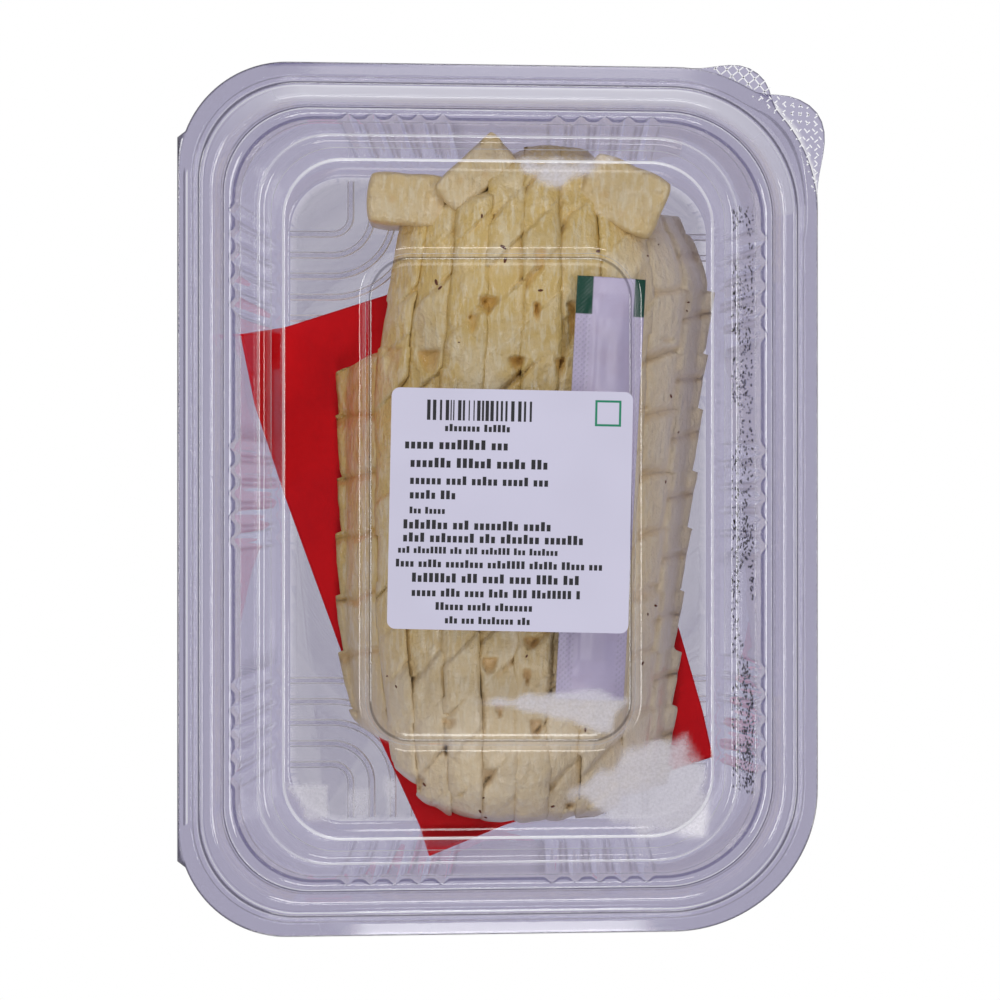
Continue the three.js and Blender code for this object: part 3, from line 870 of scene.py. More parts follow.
def clear_plastic(name, tint, gloss_limit=0.2, tab_tint=None):
    """Thin clear sheet: tinted straight through and glossy on top, with painted dark shade and painted white
    highlights on its bends.
    """
    nodes = Nodes(name)
    if tab_tint is not None:
        tint = nodes.mix_colour(nodes.attribute("tab"), tint, tab_tint)
    bend = nodes.attribute("bend")
    through = nodes.add("ShaderNodeBsdfTransparent")
    # Painted shade: dark bends darken the see-through tint
    dark = nodes.scaled(bend, -PAINTED_BEND_SHADE_SHARE)
    nodes.link(nodes.mix_colour(dark, tint, colour(*PAINTED_BEND_SHADE)), through, "Color")
    gloss = nodes.add("ShaderNodeBsdfGlossy", {"Color": colour(1, 1, 1), "Roughness": GLOSS_ROUGHNESS})
    fresnel = nodes.add("ShaderNodeFresnel", {"IOR": PLASTIC_IOR})
    both_skins = nodes.maths("MINIMUM", nodes.maths("MULTIPLY", fresnel, TWO_SKINS), gloss_limit)
    sheet = nodes.mix_shader(nodes.maths("MULTIPLY", both_skins, nodes.attribute("shine")), through, gloss)
    # Painted highlight: white bends get a white diffuse coat
    bend_highlight = nodes.add("ShaderNodeBsdfDiffuse", {"Color": colour(*PAINTED_BEND_HIGHLIGHT)})
    return nodes.done(nodes.mix_shader(nodes.scaled(bend, PAINTED_BEND_HIGHLIGHT_SHARE), sheet, bend_highlight))


def water():
    """A bead of water: see-through with a dark tint of painted shade, nearly black where it is seen edge-on.
    """
    nodes = Nodes("water_beads")
    facing = nodes.add("ShaderNodeLayerWeight", {"Blend": 0.4})
    through = nodes.add("ShaderNodeBsdfTransparent")
    # Painted shade: the see-through tint darkens towards the bead's edge
    edge_on = nodes.ramp(facing.outputs["Facing"], 0.1, 0.75)
    tint = nodes.mix_colour(edge_on, colour(0.16, 0.15, 0.18), colour(0.01, 0.01, 0.015))
    nodes.link(tint, through, "Color")
    gloss = nodes.add("ShaderNodeBsdfGlossy", {"Color": colour(1, 1, 1), "Roughness": GLOSS_ROUGHNESS})
    return nodes.done(nodes.mix_shader(0.08, through, gloss))


def fog_film():
    """Water fog on the underside of the lid: fine white grains that thin out to nothing."""
    nodes = Nodes("fog_film")
    grain = nodes.noise(object_position(nodes), 1500.0, 3.0, 0.75)
    speckle = nodes.maths("MULTIPLY", nodes.ramp(grain, 0.35, 0.65), SPECKLE_SHARE)
    amount = nodes.scaled(nodes.maths("ADD", speckle, 1 - SPECKLE_SHARE), nodes.attribute("fog"))
    grains = nodes.add("ShaderNodeBsdfDiffuse", {"Color": colour(*FOG_COLOUR)})
    return nodes.done(nodes.mix_shader(amount, nodes.add("ShaderNodeBsdfTransparent"), grains))


def fruit_flesh():
    """Wet cut pineapple: pale flesh with fibres, amber painted shade where a cut goes deep, partly the
    flesh's own deeper amber, and painted shade between slices.
    """
    nodes = Nodes("pineapple_flesh")
    place = object_position(nodes)
    fibres = nodes.noise(object_position(nodes, scale=(1.0, 0.22, 0.6)), 1100.0, 4.0, 0.6)
    cloud = nodes.noise(place, 110.0, 3.0, 0.6)
    block_share = nodes.maths("MULTIPLY", nodes.attribute("block"), BLOCK_RIPENESS)
    ripe = nodes.maths("ADD", nodes.ramp(cloud, 0.3, 0.7), block_share, clamp=True)
    base = nodes.mix_colour(ripe, colour(*PALE_FLESH), colour(*RIPE_FLESH))
    streak = nodes.maths("MULTIPLY", nodes.ramp(fibres, 0.45, 0.66), FIBRE_SHARE)
    base = nodes.mix_colour(streak, base, colour(*FIBRE_COLOUR))
    # The seam and groove tones lay amber painted shade over the flesh
    for attribute, share, tone in FLESH_TONES:
        base = nodes.mix_colour(nodes.scaled(nodes.attribute(attribute), share), base, colour(*tone))
    pulp = nodes.noise(place, 420.0, 3.0, 0.6)
    relief = nodes.maths("ADD", fibres, nodes.maths("MULTIPLY", pulp, 2.0))
    wet = {"Roughness": 0.4, "Specular IOR Level": 0.4, "Coat Weight": 0.3, "Coat Roughness": 0.12}
    return nodes.surface(base, nodes.bump(relief, 0.6, 0.0007), wet)


def pad_cover():
    """Red pad cover: a thin film with a faint weave and damp, uneven gloss."""
    nodes = Nodes("red_pad_cover")
    place = object_position(nodes)
    blotch = nodes.noise(place, 70.0, 4.0, 0.6)
    weave = nodes.add("ShaderNodeTexVoronoi", {"Scale": 1500.0})
    nodes.link(place, weave, "Vector")
    damp = nodes.ramp(blotch, 0.35, 0.7)
    base = nodes.mix_colour(damp, colour(0.97, 0.004, 0.012), colour(0.84, 0.003, 0.012))
    relief = nodes.bump(weave.outputs["Distance"], 0.2, 0.0002)
    return nodes.surface(base, relief, {"Roughness": 0.55, "Specular IOR Level": 0.12})


def paper(name, base_colour, roughness):
    """Paper, print and the like: one colour with a fine grain and a soft uneven shade."""
    nodes = Nodes(name)
    place = object_position(nodes)
    grain = nodes.noise(place, 1800.0, 3.0, 0.6)
    shade = nodes.noise(place, 35.0, 2.0)
    dark = tuple(0.93 * part for part in base_colour[:3]) + (1.0,)
    base = nodes.mix_colour(nodes.ramp(shade, 0.3, 0.8), base_colour, dark)
    values = {"Roughness": roughness, "Specular IOR Level": 0.45}
    return nodes.surface(base, nodes.bump(grain, 0.1, 0.0001), values)


def sachet_film():
    """White film with a faint lilac cast and dotted seams, printed green at the seams' upper ends."""
    nodes = Nodes("sachet_film")
    place = object_position(nodes)
    crinkle = nodes.noise(place, 260.0, 4.0, 0.6)
    powder = nodes.noise(place, 120.0, 3.0, 0.6)
    base = nodes.mix_colour(nodes.ramp(powder, 0.4, 0.75), colour(0.72, 0.65, 0.87), colour(0.66, 0.57, 0.76))
    base = nodes.mix_colour(nodes.attribute("crimp"), base, colour(0.50, 0.46, 0.62))
    base = nodes.mix_colour(nodes.attribute("green_print"), base, colour(0.004, 0.075, 0.045))
    return nodes.surface(
        base, nodes.bump(crinkle, 0.3, 0.0004), {"Roughness": 0.35, "Specular IOR Level": 0.5}
    )


TRAY_TINT = colour(0.67, 0.655, 0.75)
LID_TINT = colour(0.95, 0.948, 0.955)
TRAY_PLASTIC = clear_plastic("tray_plastic", TRAY_TINT)
LID_PLASTIC = clear_plastic("lid_plastic", LID_TINT, gloss_limit=0.13, tab_tint=TRAY_TINT)
RIDGE_PLASTIC = clear_plastic("ridge_plastic", colour(0.93, 0.925, 0.95))
BEAD_WATER = water()
FOG_FILM = fog_film()
GRIP_PLASTIC = paper("grip_plastic", colour(0.97, 0.97, 1.0), 0.4)
FLESH = fruit_flesh()
PAD_COVER = pad_cover()
LABEL_PAPER = paper("label_paper", colour(0.62, 0.60, 0.75), 0.42)
BLACK_INK = paper("black_print", colour(0.012, 0.012, 0.016), 0.5)
GREEN_INK = paper("green_print", colour(0.01, 0.22, 0.12), 0.5)
SACHET_FILM = sachet_film()
SPECK_SKIN = paper("brown_skin", colour(0.14, 0.035, 0.012), 0.45)


# Tray

def tray_flute(inset, height):
    """How far the flutes stand out at a ring of the tray's profile."""
    fade_top = smooth((inset - FLUTE_TOP) / 1.6)
    fade_floor = 1 - smooth((inset - FLUTE_FOOT) / 1.8)
    return FLUTE_DEPTH * float(fade_top * fade_floor) * (0.75 + 0.25 * height / RIM_HEIGHT)


def tray_ring(inset, height):
    on_flange = inset < FLANGE_WIDTH + 0.1
    return rim_outline(
        inset,
        flute=tray_flute(inset, height),
        tab=TRAY_TAB if on_flange else None,
        strip=inset < 0.05,
    )


def panel_ring(inset, height):
    return panel_outline(inset)


def make_shell(name, skins, material, body, replaces):
    """A closed sheet: each skin is a list of points (inset, height), their looks of painted shade and
    highlight, and its ring maker.
    """
    outlines, heights, looks, shine = [], [], [], []
    for profile, profile_looks, ring_of in skins:
        outlines += [ring_of(inset, height) for inset, height in profile]
        heights += list(profile[:, 1])
        marked = np.any(profile_looks)
        marks = [extra_marks(ring_of, inset) if marked else NO_MARKS for inset in profile[:, 0]]
        # Painted highlights are scaled down along the long sides, and the ring's painted marks are added
        looks += [look * (LINE_LIGHT if look > 0 else 1.0) + mark for look, mark in zip(profile_looks, marks)]
        shine += [1.0 if marked else 0.0] * len(profile)
    faces = loft_faces(len(outlines), len(STATIONS))
    piece = mesh_piece(name, stack(outlines, heights), faces, material, body, replaces)
    add_attributes(piece, bend=np.concatenate(looks), shine=np.repeat(shine, len(STATIONS)))
    return piece, np.vstack(outlines)


def extra_marks(ring_of, inset):
    """Painted light on parts of a ring: painted shade in the valleys between flutes, the lid's painted
    highlight band, and a painted dark line and a painted white line at the hinge.
    """
    if ring_of is tray_ring:
        fade_top = smooth((inset - VALLEY_TOP) / 0.8)
        fade_foot = 1 - smooth((inset - VALLEY_FOOT) / 1.4)
        return FLUTE_VALLEY_SHADING * float(fade_top * fade_foot)
    if ring_of is lid_ring and inset == HINGE_DARK_LINE:
        return HINGE_SHADE_LOOK * HINGE_SIDE
    if ring_of is lid_ring and inset == HINGE_WHITE_LINE:
        return HINGE_HIGHLIGHT_LOOK * HINGE_SIDE
    if ring_of is lid_ring and BAND_START < inset < BAND_END:
        return BAND_HIGHLIGHT * BAND_LIGHT
    return NO_MARKS


def make_tray():
    """The tray from its rim to its floor, and its underside."""
    upper, looks = rounded_profile(TRAY_PROFILE)
    under = offset_profile(upper, TRAY_WALL)
    under[:, 0] = np.maximum(under[:, 0], 0.0)
    skins = [(upper[::-1], looks[::-1], tray_ring), (under, 0 * looks, tray_ring)]
    make_shell("clear_tray", skins, TRAY_PLASTIC, "tray", ["tray"])


def lid_ring(inset, height):
    on_flange = inset < FLANGE_WIDTH
    extra = DOME_SIDE_EXTRA * float(smooth((inset - DOME_SIDE_START) / DOME_SIDE_SPAN))
    return rim_outline(inset, tab=LID_TAB if on_flange else None, strip=inset < 0.05, side_extra=extra)


def make_lid():
    """The lid's rim and dome follow the pack's outline, and its raised panel has its own."""
    under_rim, rim_looks = rounded_profile(LID_RIM_PROFILE)
    upper_rim = offset_profile(under_rim, -LID_WALL)
    upper_rim[:, 0] = np.maximum(upper_rim[:, 0], 0.0)
    under_panel, panel_looks = rounded_profile(LID_PANEL_PROFILE)
    upper_panel = offset_profile(under_panel, -LID_WALL)
    skins = [
        (upper_panel[::-1], panel_looks[::-1], panel_ring),
        (upper_rim[::-1], rim_looks[::-1], lid_ring),
        (under_rim, 0 * rim_looks, lid_ring),
        (under_panel, 0 * panel_looks, panel_ring),
    ]
    piece, places = make_shell("clear_lid", skins, LID_PLASTIC, "lid", ["lid"])
    add_attributes(piece, tab=off_rim(places))


def off_rim(places):
    """From 0 over the tray's plain rim to 1 where a place lies off it, on the lid's tab."""
    centre_x, centre_y = tab_corner_centre()
    x, y = places[:, 0], places[:, 1]
    corner_distance = np.hypot(np.maximum(x - centre_x, 0), np.maximum(y - centre_y, 0))
    return np.where(y > 0, smooth((corner_distance - FREE_CORNER - 0.1) / 0.5), 0.0)


# Fruit

def cut_line(cut, y):
    """The line of one cut: both ends lean in on the hinge side, and the free side has a shoulder."""
    start = FRUIT_LEFT + sum(SLICE_WIDTHS[:cut])
    hinge_share = max(0.0, 1 - cut / LEANING_SLICES)
    free_share = (cut / SLICE_COUNT) ** 3
    lean = LEAN * smooth((y - LEAN_START) / (LEAN_END - LEAN_START))
    toe_in = TOE_IN * smooth((y - TOE_IN_START) / (TOE_IN_END - TOE_IN_START))
    shoulder = SHOULDER * smooth((y - SHOULDER_START) / (SHOULDER_END - SHOULDER_START))
    spread = SPREAD * y / SPREAD_SPAN
    return start + hinge_share * (lean + toe_in) + free_share * (spread - free_share * shoulder)


def fruit_surface(x, y):
    """Height of the peeled surface over the floor, without cuts and grooves."""
    left = cut_line(0, y)
    right = cut_line(SLICE_COUNT, y)
    across = np.abs((2 * x - left - right) / (right - left))
    along = np.abs((y - FRUIT_MIDDLE) / FRUIT_HALF_LENGTH)
    side = np.sqrt(1 - clamp01(across) ** FRUIT_SIDE_POWER)
    end = np.sqrt(1 - clamp01(along) ** FRUIT_END_POWER)
    return np.maximum(FRUIT_HEIGHT * side * end, LEAST_HEIGHT) + TRAY_WALL


def is_flank(index):
    return index in (0, SLICE_COUNT - 1)


def groove_shift(index):
    """Each slice's grooves are shifted along it by an amount of their own."""
    return GROOVE_SHIFT * math.sin(index * 2.4)


def flank_place(index, y):
    """The distance along an outer slice, counted in its grooves."""
    return (y - FLANK_GROOVE_START - groove_shift(index)) / FLANK_GROOVE_PITCH


def nearest_groove(index, y):
    """Number of the nearest groove across a slice, and the signed distance past it."""
    if is_flank(index):
        place = flank_place(index, y)
        number = np.floor(place + 0.5)
        return number, (place - number) * FLANK_GROOVE_PITCH
    middle = (cut_line(index, 0.0) + cut_line(index + 1, 0.0)) / 2
    place = (middle - GROOVE_START + groove_shift(index) - y) / GROOVE_PITCH
    number = np.floor(place + 0.5)
    return number, (number - place) * GROOVE_PITCH


def block_step(index, y):
    """How far a flank's outer side stands out: each block widens upwards and ends at a groove."""
    along = flank_place(index, y) + 0.06 * wobble(0, y, index, 5.0)
    return BLOCK_STEP * (along - np.floor(along))


def wall_clearance_height(x, y, margin):
    """The lowest height at which a point is clear of the tray's sloping wall."""
    y_scaled = np.abs(y) / taper_at(x)
    inset = np.minimum(PACK_LENGTH / 2 - y_scaled, PACK_WIDTH / 2 - np.abs(x))
    return WALL_FOOT_HEIGHT + (WALL_FOOT + margin - inset) * WALL_SLOPE


def inside_end_walls(x, y, z):
    """Pulls places in until they rest against the tray's sloping end walls."""
    inset = WALL_FOOT + WALL_REST - (z - WALL_FOOT_HEIGHT) / WALL_SLOPE
    limit = (PACK_LENGTH / 2 - inset) * taper_at(x)
    return np.clip(y, -limit, limit)


def notch_cut(x, y):
    """How deep the listed notches cut at each place, from 0 to 1: steep at the top, with a tip below."""
    total = np.zeros(np.broadcast(x, y).shape)
    for notch_x, notch_y, half_width, half_length, strength in NOTCHES:
        along = (y - notch_y + half_length) / (2 * half_length)
        width = half_width * (0.3 + 0.7 * clamp01(along))
        lengthwise = smooth(along * 1.6) * smooth((1 - along) * 8)
        crossing = clamp01(2.4 * (1 - np.abs(x - notch_x + 0.35 * wobble(x, y, 0, 1.7)) / width))
        total = np.maximum(total, strength * crossing * lengthwise)
    return total


def slice_edges(index, y):
    """Left and right edge of a slice along its length, stepped from block to block."""
    left = cut_line(index, y) - SLICE_PRESS
    right = cut_line(index + 1, y) + SLICE_PRESS
    number, past = nearest_groove(index, y)
    step = smooth(past / 0.7 + 0.5)
    for side, edge in ((1, left), (-1, right)):
        before = lattice(number, index, side, 1.0)
        after = lattice(number + 1, index, side, 1.0)
        edge += side * EDGE_JOG * (before + (after - before) * step - 0.5)
        edge += side * 0.15 * wobble(side, y, index * 7.0, 2.2)
    if index == 0:
        left -= block_step(index, y)
    if index == SLICE_COUNT - 1:
        right += block_step(index, y)
    return left, right


def slice_top(index, x, y, across):
    """Height, painted shade for its cuts and creases, and block tint over the top of a slice."""
    slant = math.tan(math.radians(FLANK_GROOVE_ANGLE)) if is_flank(index) else 1.0
    middle = (cut_line(index, y) + cut_line(index + 1, y)) / 2
    ragged_y = y - (x - middle) * slant + 0.7 * wobble(x, y, index * 5.0, 3.0)
    if index == SLICE_COUNT - 1:
        ragged_y = ragged_y + np.where(across > LONG_CUT_PLACE, 0.5 * FLANK_GROOVE_PITCH, 0.0)
    number, past = nearest_groove(index, ragged_y)
    inside = (y > SLICE_BOTTOM_ENDS[index] + 6) & (y < SLICE_TOP_ENDS[index] - 6)
    chance = lattice(number, index, 3.0, 2.0)
    side = np.where(lattice(number, index, 5.0, 2.0) > 0.5, 1.0, -1.0)
    closeness = clamp01(0.5 + 0.62 * side * across)
    reach = (0.9 + 1.8 * chance) * closeness + 0.05
    wedge = np.where(past < 0, clamp01(1 + past / reach), clamp01(1 - past / (0.35 * reach))) * inside
    relief = OUTER_RELIEF if is_flank(index) else INNER_RELIEF
    height = fruit_surface(x, y) - SLICE_DROPS[index]
    height = height - GROOVE_DEPTH * relief["groove"] * closeness * wedge
    crease = np.exp(-(past / relief["crease_width"]) ** 2) * inside
    if not is_flank(index):
        crease = crease * closeness ** 2
    height = height - relief["crease_depth"] * crease
    if index == SLICE_COUNT - 1:
        long_cut = np.exp(-((across - LONG_CUT_PLACE) / LONG_CUT_WIDTH) ** 2)
        height = height - LONG_CUT_DEPTH * long_cut
        crease = np.maximum(crease, long_cut)
    step = smooth(past / 0.8 + 0.5)
    tint = lattice(number, index, 9.0, 4.0) * (1 - step) + lattice(number + 1, index, 9.0, 4.0) * step
    height = height - relief["block_step"] * tint - EDGE_DROP * np.abs(across) ** 5
    notch = notch_cut(x, y)
    height = height - NOTCH_DEPTH * notch
    height = height + 0.4 * wobble(x, y, index * 11.0, 5.0) + 0.3 * wobble(x, y * 0.6, index * 3.0, 2.2)
    height = height + 0.14 * wobble(x, y * 0.5, index * 3.0, 1.0)
    # Painted shade: amber that follows how deep the wedges, notches and creases cut
    mark = np.maximum(0.5 * closeness * wedge ** 0.8 * chance, notch)
    return height, np.maximum(mark, relief["crease_shade"] * crease), tint


def end_slant(ends, index):
    """How far a slice's end is cut on the slant, so that it carries on its neighbours' outline."""
    before, after = ends[max(index - 1, 0)], ends[min(index + 1, SLICE_COUNT - 1)]
    return max(-MOST_SLANT, min(MOST_SLANT, (after - before) / 4))


def ragged_ends(index, x, y, across, edge_distance):
    """Where a slice's top lies along its length, once both ends are ragged and cut on the slant."""
    end_share = 1 - clamp01(edge_distance / END_REACH)
    pull = END_RAGGEDNESS * wobble(x, index * 9.0, np.sign(y) * 4.0, 2.6) - 0.9 * np.abs(across) ** 3
    ragged = np.sign(y - FRUIT_MIDDLE) * end_share * (END_RAGGEDNESS - pull) * 0.6
    slant = np.where(
        y < FRUIT_MIDDLE, end_slant(SLICE_BOTTOM_ENDS, index), end_slant(SLICE_TOP_ENDS, index)
    )
    return y - ragged + end_share * slant * across


def make_slice(index):
    """One long slice: its cut top, its two sides and its blunt, ragged ends."""
    bottom_end, top_end = SLICE_BOTTOM_ENDS[index], SLICE_TOP_ENDS[index] + END_LENGTHENING[index]
    rows = int((top_end - bottom_end) / SLICE_ROW_STEP)
    y = np.linspace(bottom_end, top_end, rows + 1)[:, None]
    across = np.linspace(-1, 1, SLICE_TOP_COLUMNS + 1)[None, :]
    edge_distance = np.minimum(y - bottom_end, top_end - y)
    rounding = np.sqrt(1 - (1 - clamp01(edge_distance / END_ROUNDING)) ** 2)
    left, right = slice_edges(index, y)
    middle, half = (left + right) / 2, (right - left) / 2 * (0.93 + 0.07 * rounding)
    x = middle + half * across
    height, mark, tint = slice_top(index, x, y, across)
    base = np.maximum(SLICE_FLOOR, wall_clearance_height(middle, y, SLICE_CLEARANCE))
    base = np.minimum(base, height.min(axis=1, keepdims=True) - 1.0)
    height = base + (height - base) * (0.4 + 0.6 * rounding)
    y_top = ragged_ends(index, x, y, across, edge_distance)
    levels = np.linspace(0, 1, SLICE_SIDE_LEVELS + 1)[:-1][None, :]

    def side_wall(edge_x, edge_height, edge_y, sign):
        z = base + (edge_height - base) * levels
        dent = 0.12 * np.abs(wobble(sign * 3.0, y, z + index * 9.0, 2.4))
        return np.stack([edge_x + sign * dent + 0 * z, edge_y + 0 * z, z], axis=2)

    left_wall = side_wall(x[:, :1], height[:, :1], y_top[:, :1], 1)
    right_wall = side_wall(x[:, -1:], height[:, -1:], y_top[:, -1:], -1)
    top = np.stack([x, y_top, height], axis=2)
    points = np.concatenate([left_wall, top, right_wall[:, ::-1]], axis=1)
    points[..., 1] = inside_end_walls(points[..., 0], points[..., 1], points[..., 2])
    blank = np.zeros((rows + 1, SLICE_SIDE_LEVELS))
    # Painted shade: amber towards the long edges of the top and all over the sides, where the slice meets its
    # neighbours
    top_edge_shade = clamp01((np.abs(across) - 0.7) / 0.3) ** 1.5 + 0 * y
    seam = np.concatenate([blank + 1, top_edge_shade, blank + 1], axis=1)
    groove = np.concatenate([blank, mark, blank], axis=1)
    block = np.concatenate([blank + 0.5, tint, blank + 0.5], axis=1)
    faces = loft_faces(rows + 1, points.shape[1])
    name = f"slice_{index + 1}"
    piece = mesh_piece(f"fruit_{name}", points.reshape(-1, 3), faces, FLESH, "tray", [name])
    pale = paleness(points[..., 0], points[..., 1])
    add_attributes(piece, groove=groove, seam=seam, block=block, pale=pale)


def paleness(x, y):
    """The fruit is paler towards its lower and free sides."""
    return clamp01(0.75 * smooth((-y - 10) / 45) + smooth((x - 22) / 14))


def add_dome(points, faces, place_at, peak):
    """Adds a small closed dome: place_at gives the point at a turn round it and a lift up it."""
    start = len(points)
    for level in range(DOME_LEVELS):
        lift = level / DOME_LEVELS * math.pi / 2
        points += [place_at(2 * math.pi * i / DOME_RING, lift) for i in range(DOME_RING)]
    tip = len(points)
    points.append(peak)
    for level in range(DOME_LEVELS - 1):
        low = start + level * DOME_RING
        high = low + DOME_RING
        for i in range(DOME_RING):
            following = (i + 1) % DOME_RING
            faces.append((low + i, low + following, high + following, high + i))
    top = tip - DOME_RING
    faces += [(top + i, top + (i + 1) % DOME_RING, tip) for i in range(DOME_RING)]
    faces.append(tuple(start + DOME_RING - 1 - i for i in range(DOME_RING)))


def make_specks():
    """Small brown scraps of skin, each a flattened bead set into the flesh."""
    points, faces = [], []
    for number, (x, y, length) in enumerate(SPECKS):
        index = next(i for i in range(SLICE_COUNT) if x < cut_line(i + 1, y) or i == SLICE_COUNT - 1)
        x_grid, y_grid = np.array([[float(x)]]), np.array([[float(y)]])
        left, right = slice_edges(index, y_grid)
        across = np.clip((2 * x - left - right) / (right - left), -1, 1)
        height = float(slice_top(index, x_grid, y_grid, across)[0][0, 0])

        def place_at(angle, lift):
            u = 0.5 * length * math.cos(angle) * math.cos(lift)
            v = 0.24 * length * math.sin(angle) * math.cos(lift)
            x_at, y_at = turned((x, y), u, v, number * SPECK_TURN)
            return x_at, y_at, height - SPECK_SINK + SPECK_RISE * math.sin(lift)

        add_dome(points, faces, place_at, (x, y, height + SPECK_PEAK))
    mesh_piece("fruit_specks", points, faces, SPECK_SKIN, "tray")


def make_broken_end(node, centre, length, width, height, turn_degrees, tilt_along, tilt_across):
    """A blunt chunk with a tilted, pitted top and bulging sides."""
    turn = math.radians(turn_degrees)
    columns, rows = int(length / BROKEN_END_STEP), int(width / BROKEN_END_STEP)

    def plan(u, v):
        a, b = 2 * u - 1, 2 * v - 1
        pull = 1 - 0.09 * (a * b) ** 4
        across = a * pull * length / 2
        along = b * pull * width / 2
        swell = 1 + 0.035 * float(wobble(across, along, height, 4.0))
        return *turned(centre, across * swell, along * swell, turn), a, b

    def lower(u, v):
        x, y, _, _ = plan(u, v)
        return x, y, max(SLICE_FLOOR, float(wall_clearance_height(x, y, BROKEN_END_CLEARANCE)))

    def upper(u, v):
        x, y, a, b = plan(u, v)
        edge = (1 - abs(a) ** BROKEN_END_SQUARENESS) * (1 - abs(b) ** BROKEN_END_SQUARENESS)
        top = height - BROKEN_END_ROUNDING * (1 - max(edge, 0.0) ** 0.5)
        top -= tilt_along * length / 2 * (a + 1) + tilt_across * width / 2 * (1 - b)
        top -= 1.1 * abs(float(wobble(x, y, height, 4.2))) + 0.35 * float(wobble(x, y, height, 1.6))
        return x, y, max(top, lower(u, v)[2] + 1.0)

    name = f"fruit_{node}"
    piece, places = grid_piece(name, columns, rows, lower, upper, FLESH, "tray", "pineapple", [node])
    u, v = np.array(places).T
    edge = np.maximum(np.abs(2 * u - 1), np.abs(2 * v - 1))
    # Painted shade: amber round the edge of the top and all over the sides below it
    top_edge_shade = clamp01((edge - 0.86) / 0.14)
    pits = 0.7 * clamp01(wobble(u * length, v * width, height, 2.6, 2.0) * 2.2 - 1.1)
    tint = 0.5 + 0.5 * wobble(u * length, v * width, height, 7.0)
    below = np.zeros(len(edge))
    add_attributes(
        piece,
        seam=np.concatenate([below + 1, top_edge_shade]),
        groove=np.concatenate([below, pits]),
        block=np.concatenate([below + 0.5, tint]),
        pale=np.concatenate([below, below + BROKEN_END_PALENESS]),
    )


# Pad, sachet and label

def room_height(x, y, gap):
    """Height of a sheet that lies on the tray's floor and up its wall, a gap away from both."""
    floor = TRAY_WALL + gap
    wall = float(wall_clearance_height(x, y, 1.05 * gap))
    return max(floor, wall)


def dimple(x, y):
    """The raised dots of the pad cover, in a staggered grid."""
    row = round(y / DIMPLE_PITCH)
    offset = 0.5 * DIMPLE_PITCH * (row % 2)
    cx = round((x - offset) / DIMPLE_PITCH) * DIMPLE_PITCH + offset
    distance = math.hypot(x - cx, y - row * DIMPLE_PITCH)
    return DIMPLE_HEIGHT * float(smooth(1 - distance / DIMPLE_RADIUS))


def along_edge(edge, share):
    """The place at a share of the way along a line of corners."""
    corners = np.array(edge)
    marks = np.concatenate([[0], np.cumsum(np.linalg.norm(np.diff(corners, axis=0), axis=1))])
    at = share * marks[-1]
    return np.interp(at, marks, corners[:, 0]), np.interp(at, marks, corners[:, 1])


def make_pad():
    """The pad under the fruit, on the tray's floor, with a dimpled cover."""
    def plan(u, v):
        left = along_edge(PAD_LEFT_EDGE, v)
        right = along_edge(PAD_RIGHT_EDGE, v)
        return left[0] + (right[0] - left[0]) * u, left[1] + (right[1] - left[1]) * u

    def lower(u, v):
        x, y = plan(u, 1 - v)
        return x, y, room_height(x, y, PAD_LIFT)

    def upper(u, v):
        x, y = plan(u, 1 - v)
        ripple = 0.12 * float(abs(wobble(x, y, 0, 5.0)))
        top = room_height(x, y, PAD_LIFT + PAD_THICKNESS)
        return x, y, min(top - ripple + dimple(x * 0.95 + y * 0.3, y * 0.95 - x * 0.3), top + 0.25)

    columns, rows = (int(side / PAD_STEP) for side in PAD_SIZE)
    sides = (lower, upper)
    grid_piece("red_absorbent_pad", columns, rows, *sides, PAD_COVER, "tray", "pad_film", ["absorbent_pad"])


def make_sachet():
    """The narrow sachet on top of the fruit: full in the middle, with flat dotted seams."""
    turn = math.radians(SACHET_TURN)

    def plan(u, v):
        across, along = (u - 0.5) * SACHET_WIDTH, (v - 0.5) * SACHET_LENGTH
        return *turned(SACHET_CENTRE, across, along, turn), across, along

    def fill(across, along):
        side = (SACHET_WIDTH / 2 - abs(across) - SEAM_WIDTH * 0.6) / 3.0
        end = (SACHET_LENGTH / 2 - abs(along) - 3.0) / 6.0
        return float(smooth(side) * smooth(end))

    def lower(u, v):
        x, y, _, _ = plan(u, v)
        return x, y, float(fruit_surface(x, y)) + SACHET_CLEARANCE

    def upper(u, v):
        x, y, across, along = plan(u, v)
        full = fill(across, along)
        swell = SACHET_SWELL * full
        seam = 1 - full
        dots = 0.16 * math.cos(across * 2 * math.pi / 0.9) * math.cos(along * 2 * math.pi / 0.9) * seam
        crease = 0.25 * float(wobble(across * 1.6, along * 0.5, 4.0, 3.0)) * (1 - seam * 0.7)
        return x, y, float(fruit_surface(x, y)) + SACHET_CLEARANCE + 0.35 + swell + dots + crease

    columns, rows = int(SACHET_WIDTH / SACHET_STEP), int(SACHET_LENGTH / SACHET_STEP)
    sides = (lower, upper)
    piece, places = grid_piece(
        "seasoning_sachet", columns, rows, *sides, SACHET_FILM, "tray", "sachet_film", ["sachet"]
    )
    green, crimp = [], []
    for u, v in places + places:
        _, _, across, along = plan(u, v)
        on_seam = across < LEFT_SEAM_WIDTH - SACHET_WIDTH / 2 or across > SACHET_WIDTH / 2 - RIGHT_SEAM_WIDTH
        printed = on_seam and along > SACHET_LENGTH / 2 - PRINT_LENGTH
        green.append(1.0 if printed else 0.0)
        dot = math.cos(across * 2 * math.pi / CRIMP_PITCH) * math.cos(along * 2 * math.pi / CRIMP_PITCH)
        crimp.append(0.9 * max(dot, 0.0) if on_seam and not printed else 0.0)
    add_attributes(piece, green_print=green, crimp=crimp)


def label_place(x, y):
    return turned(LABEL_CENTRE, x, y, math.radians(LABEL_TURN))


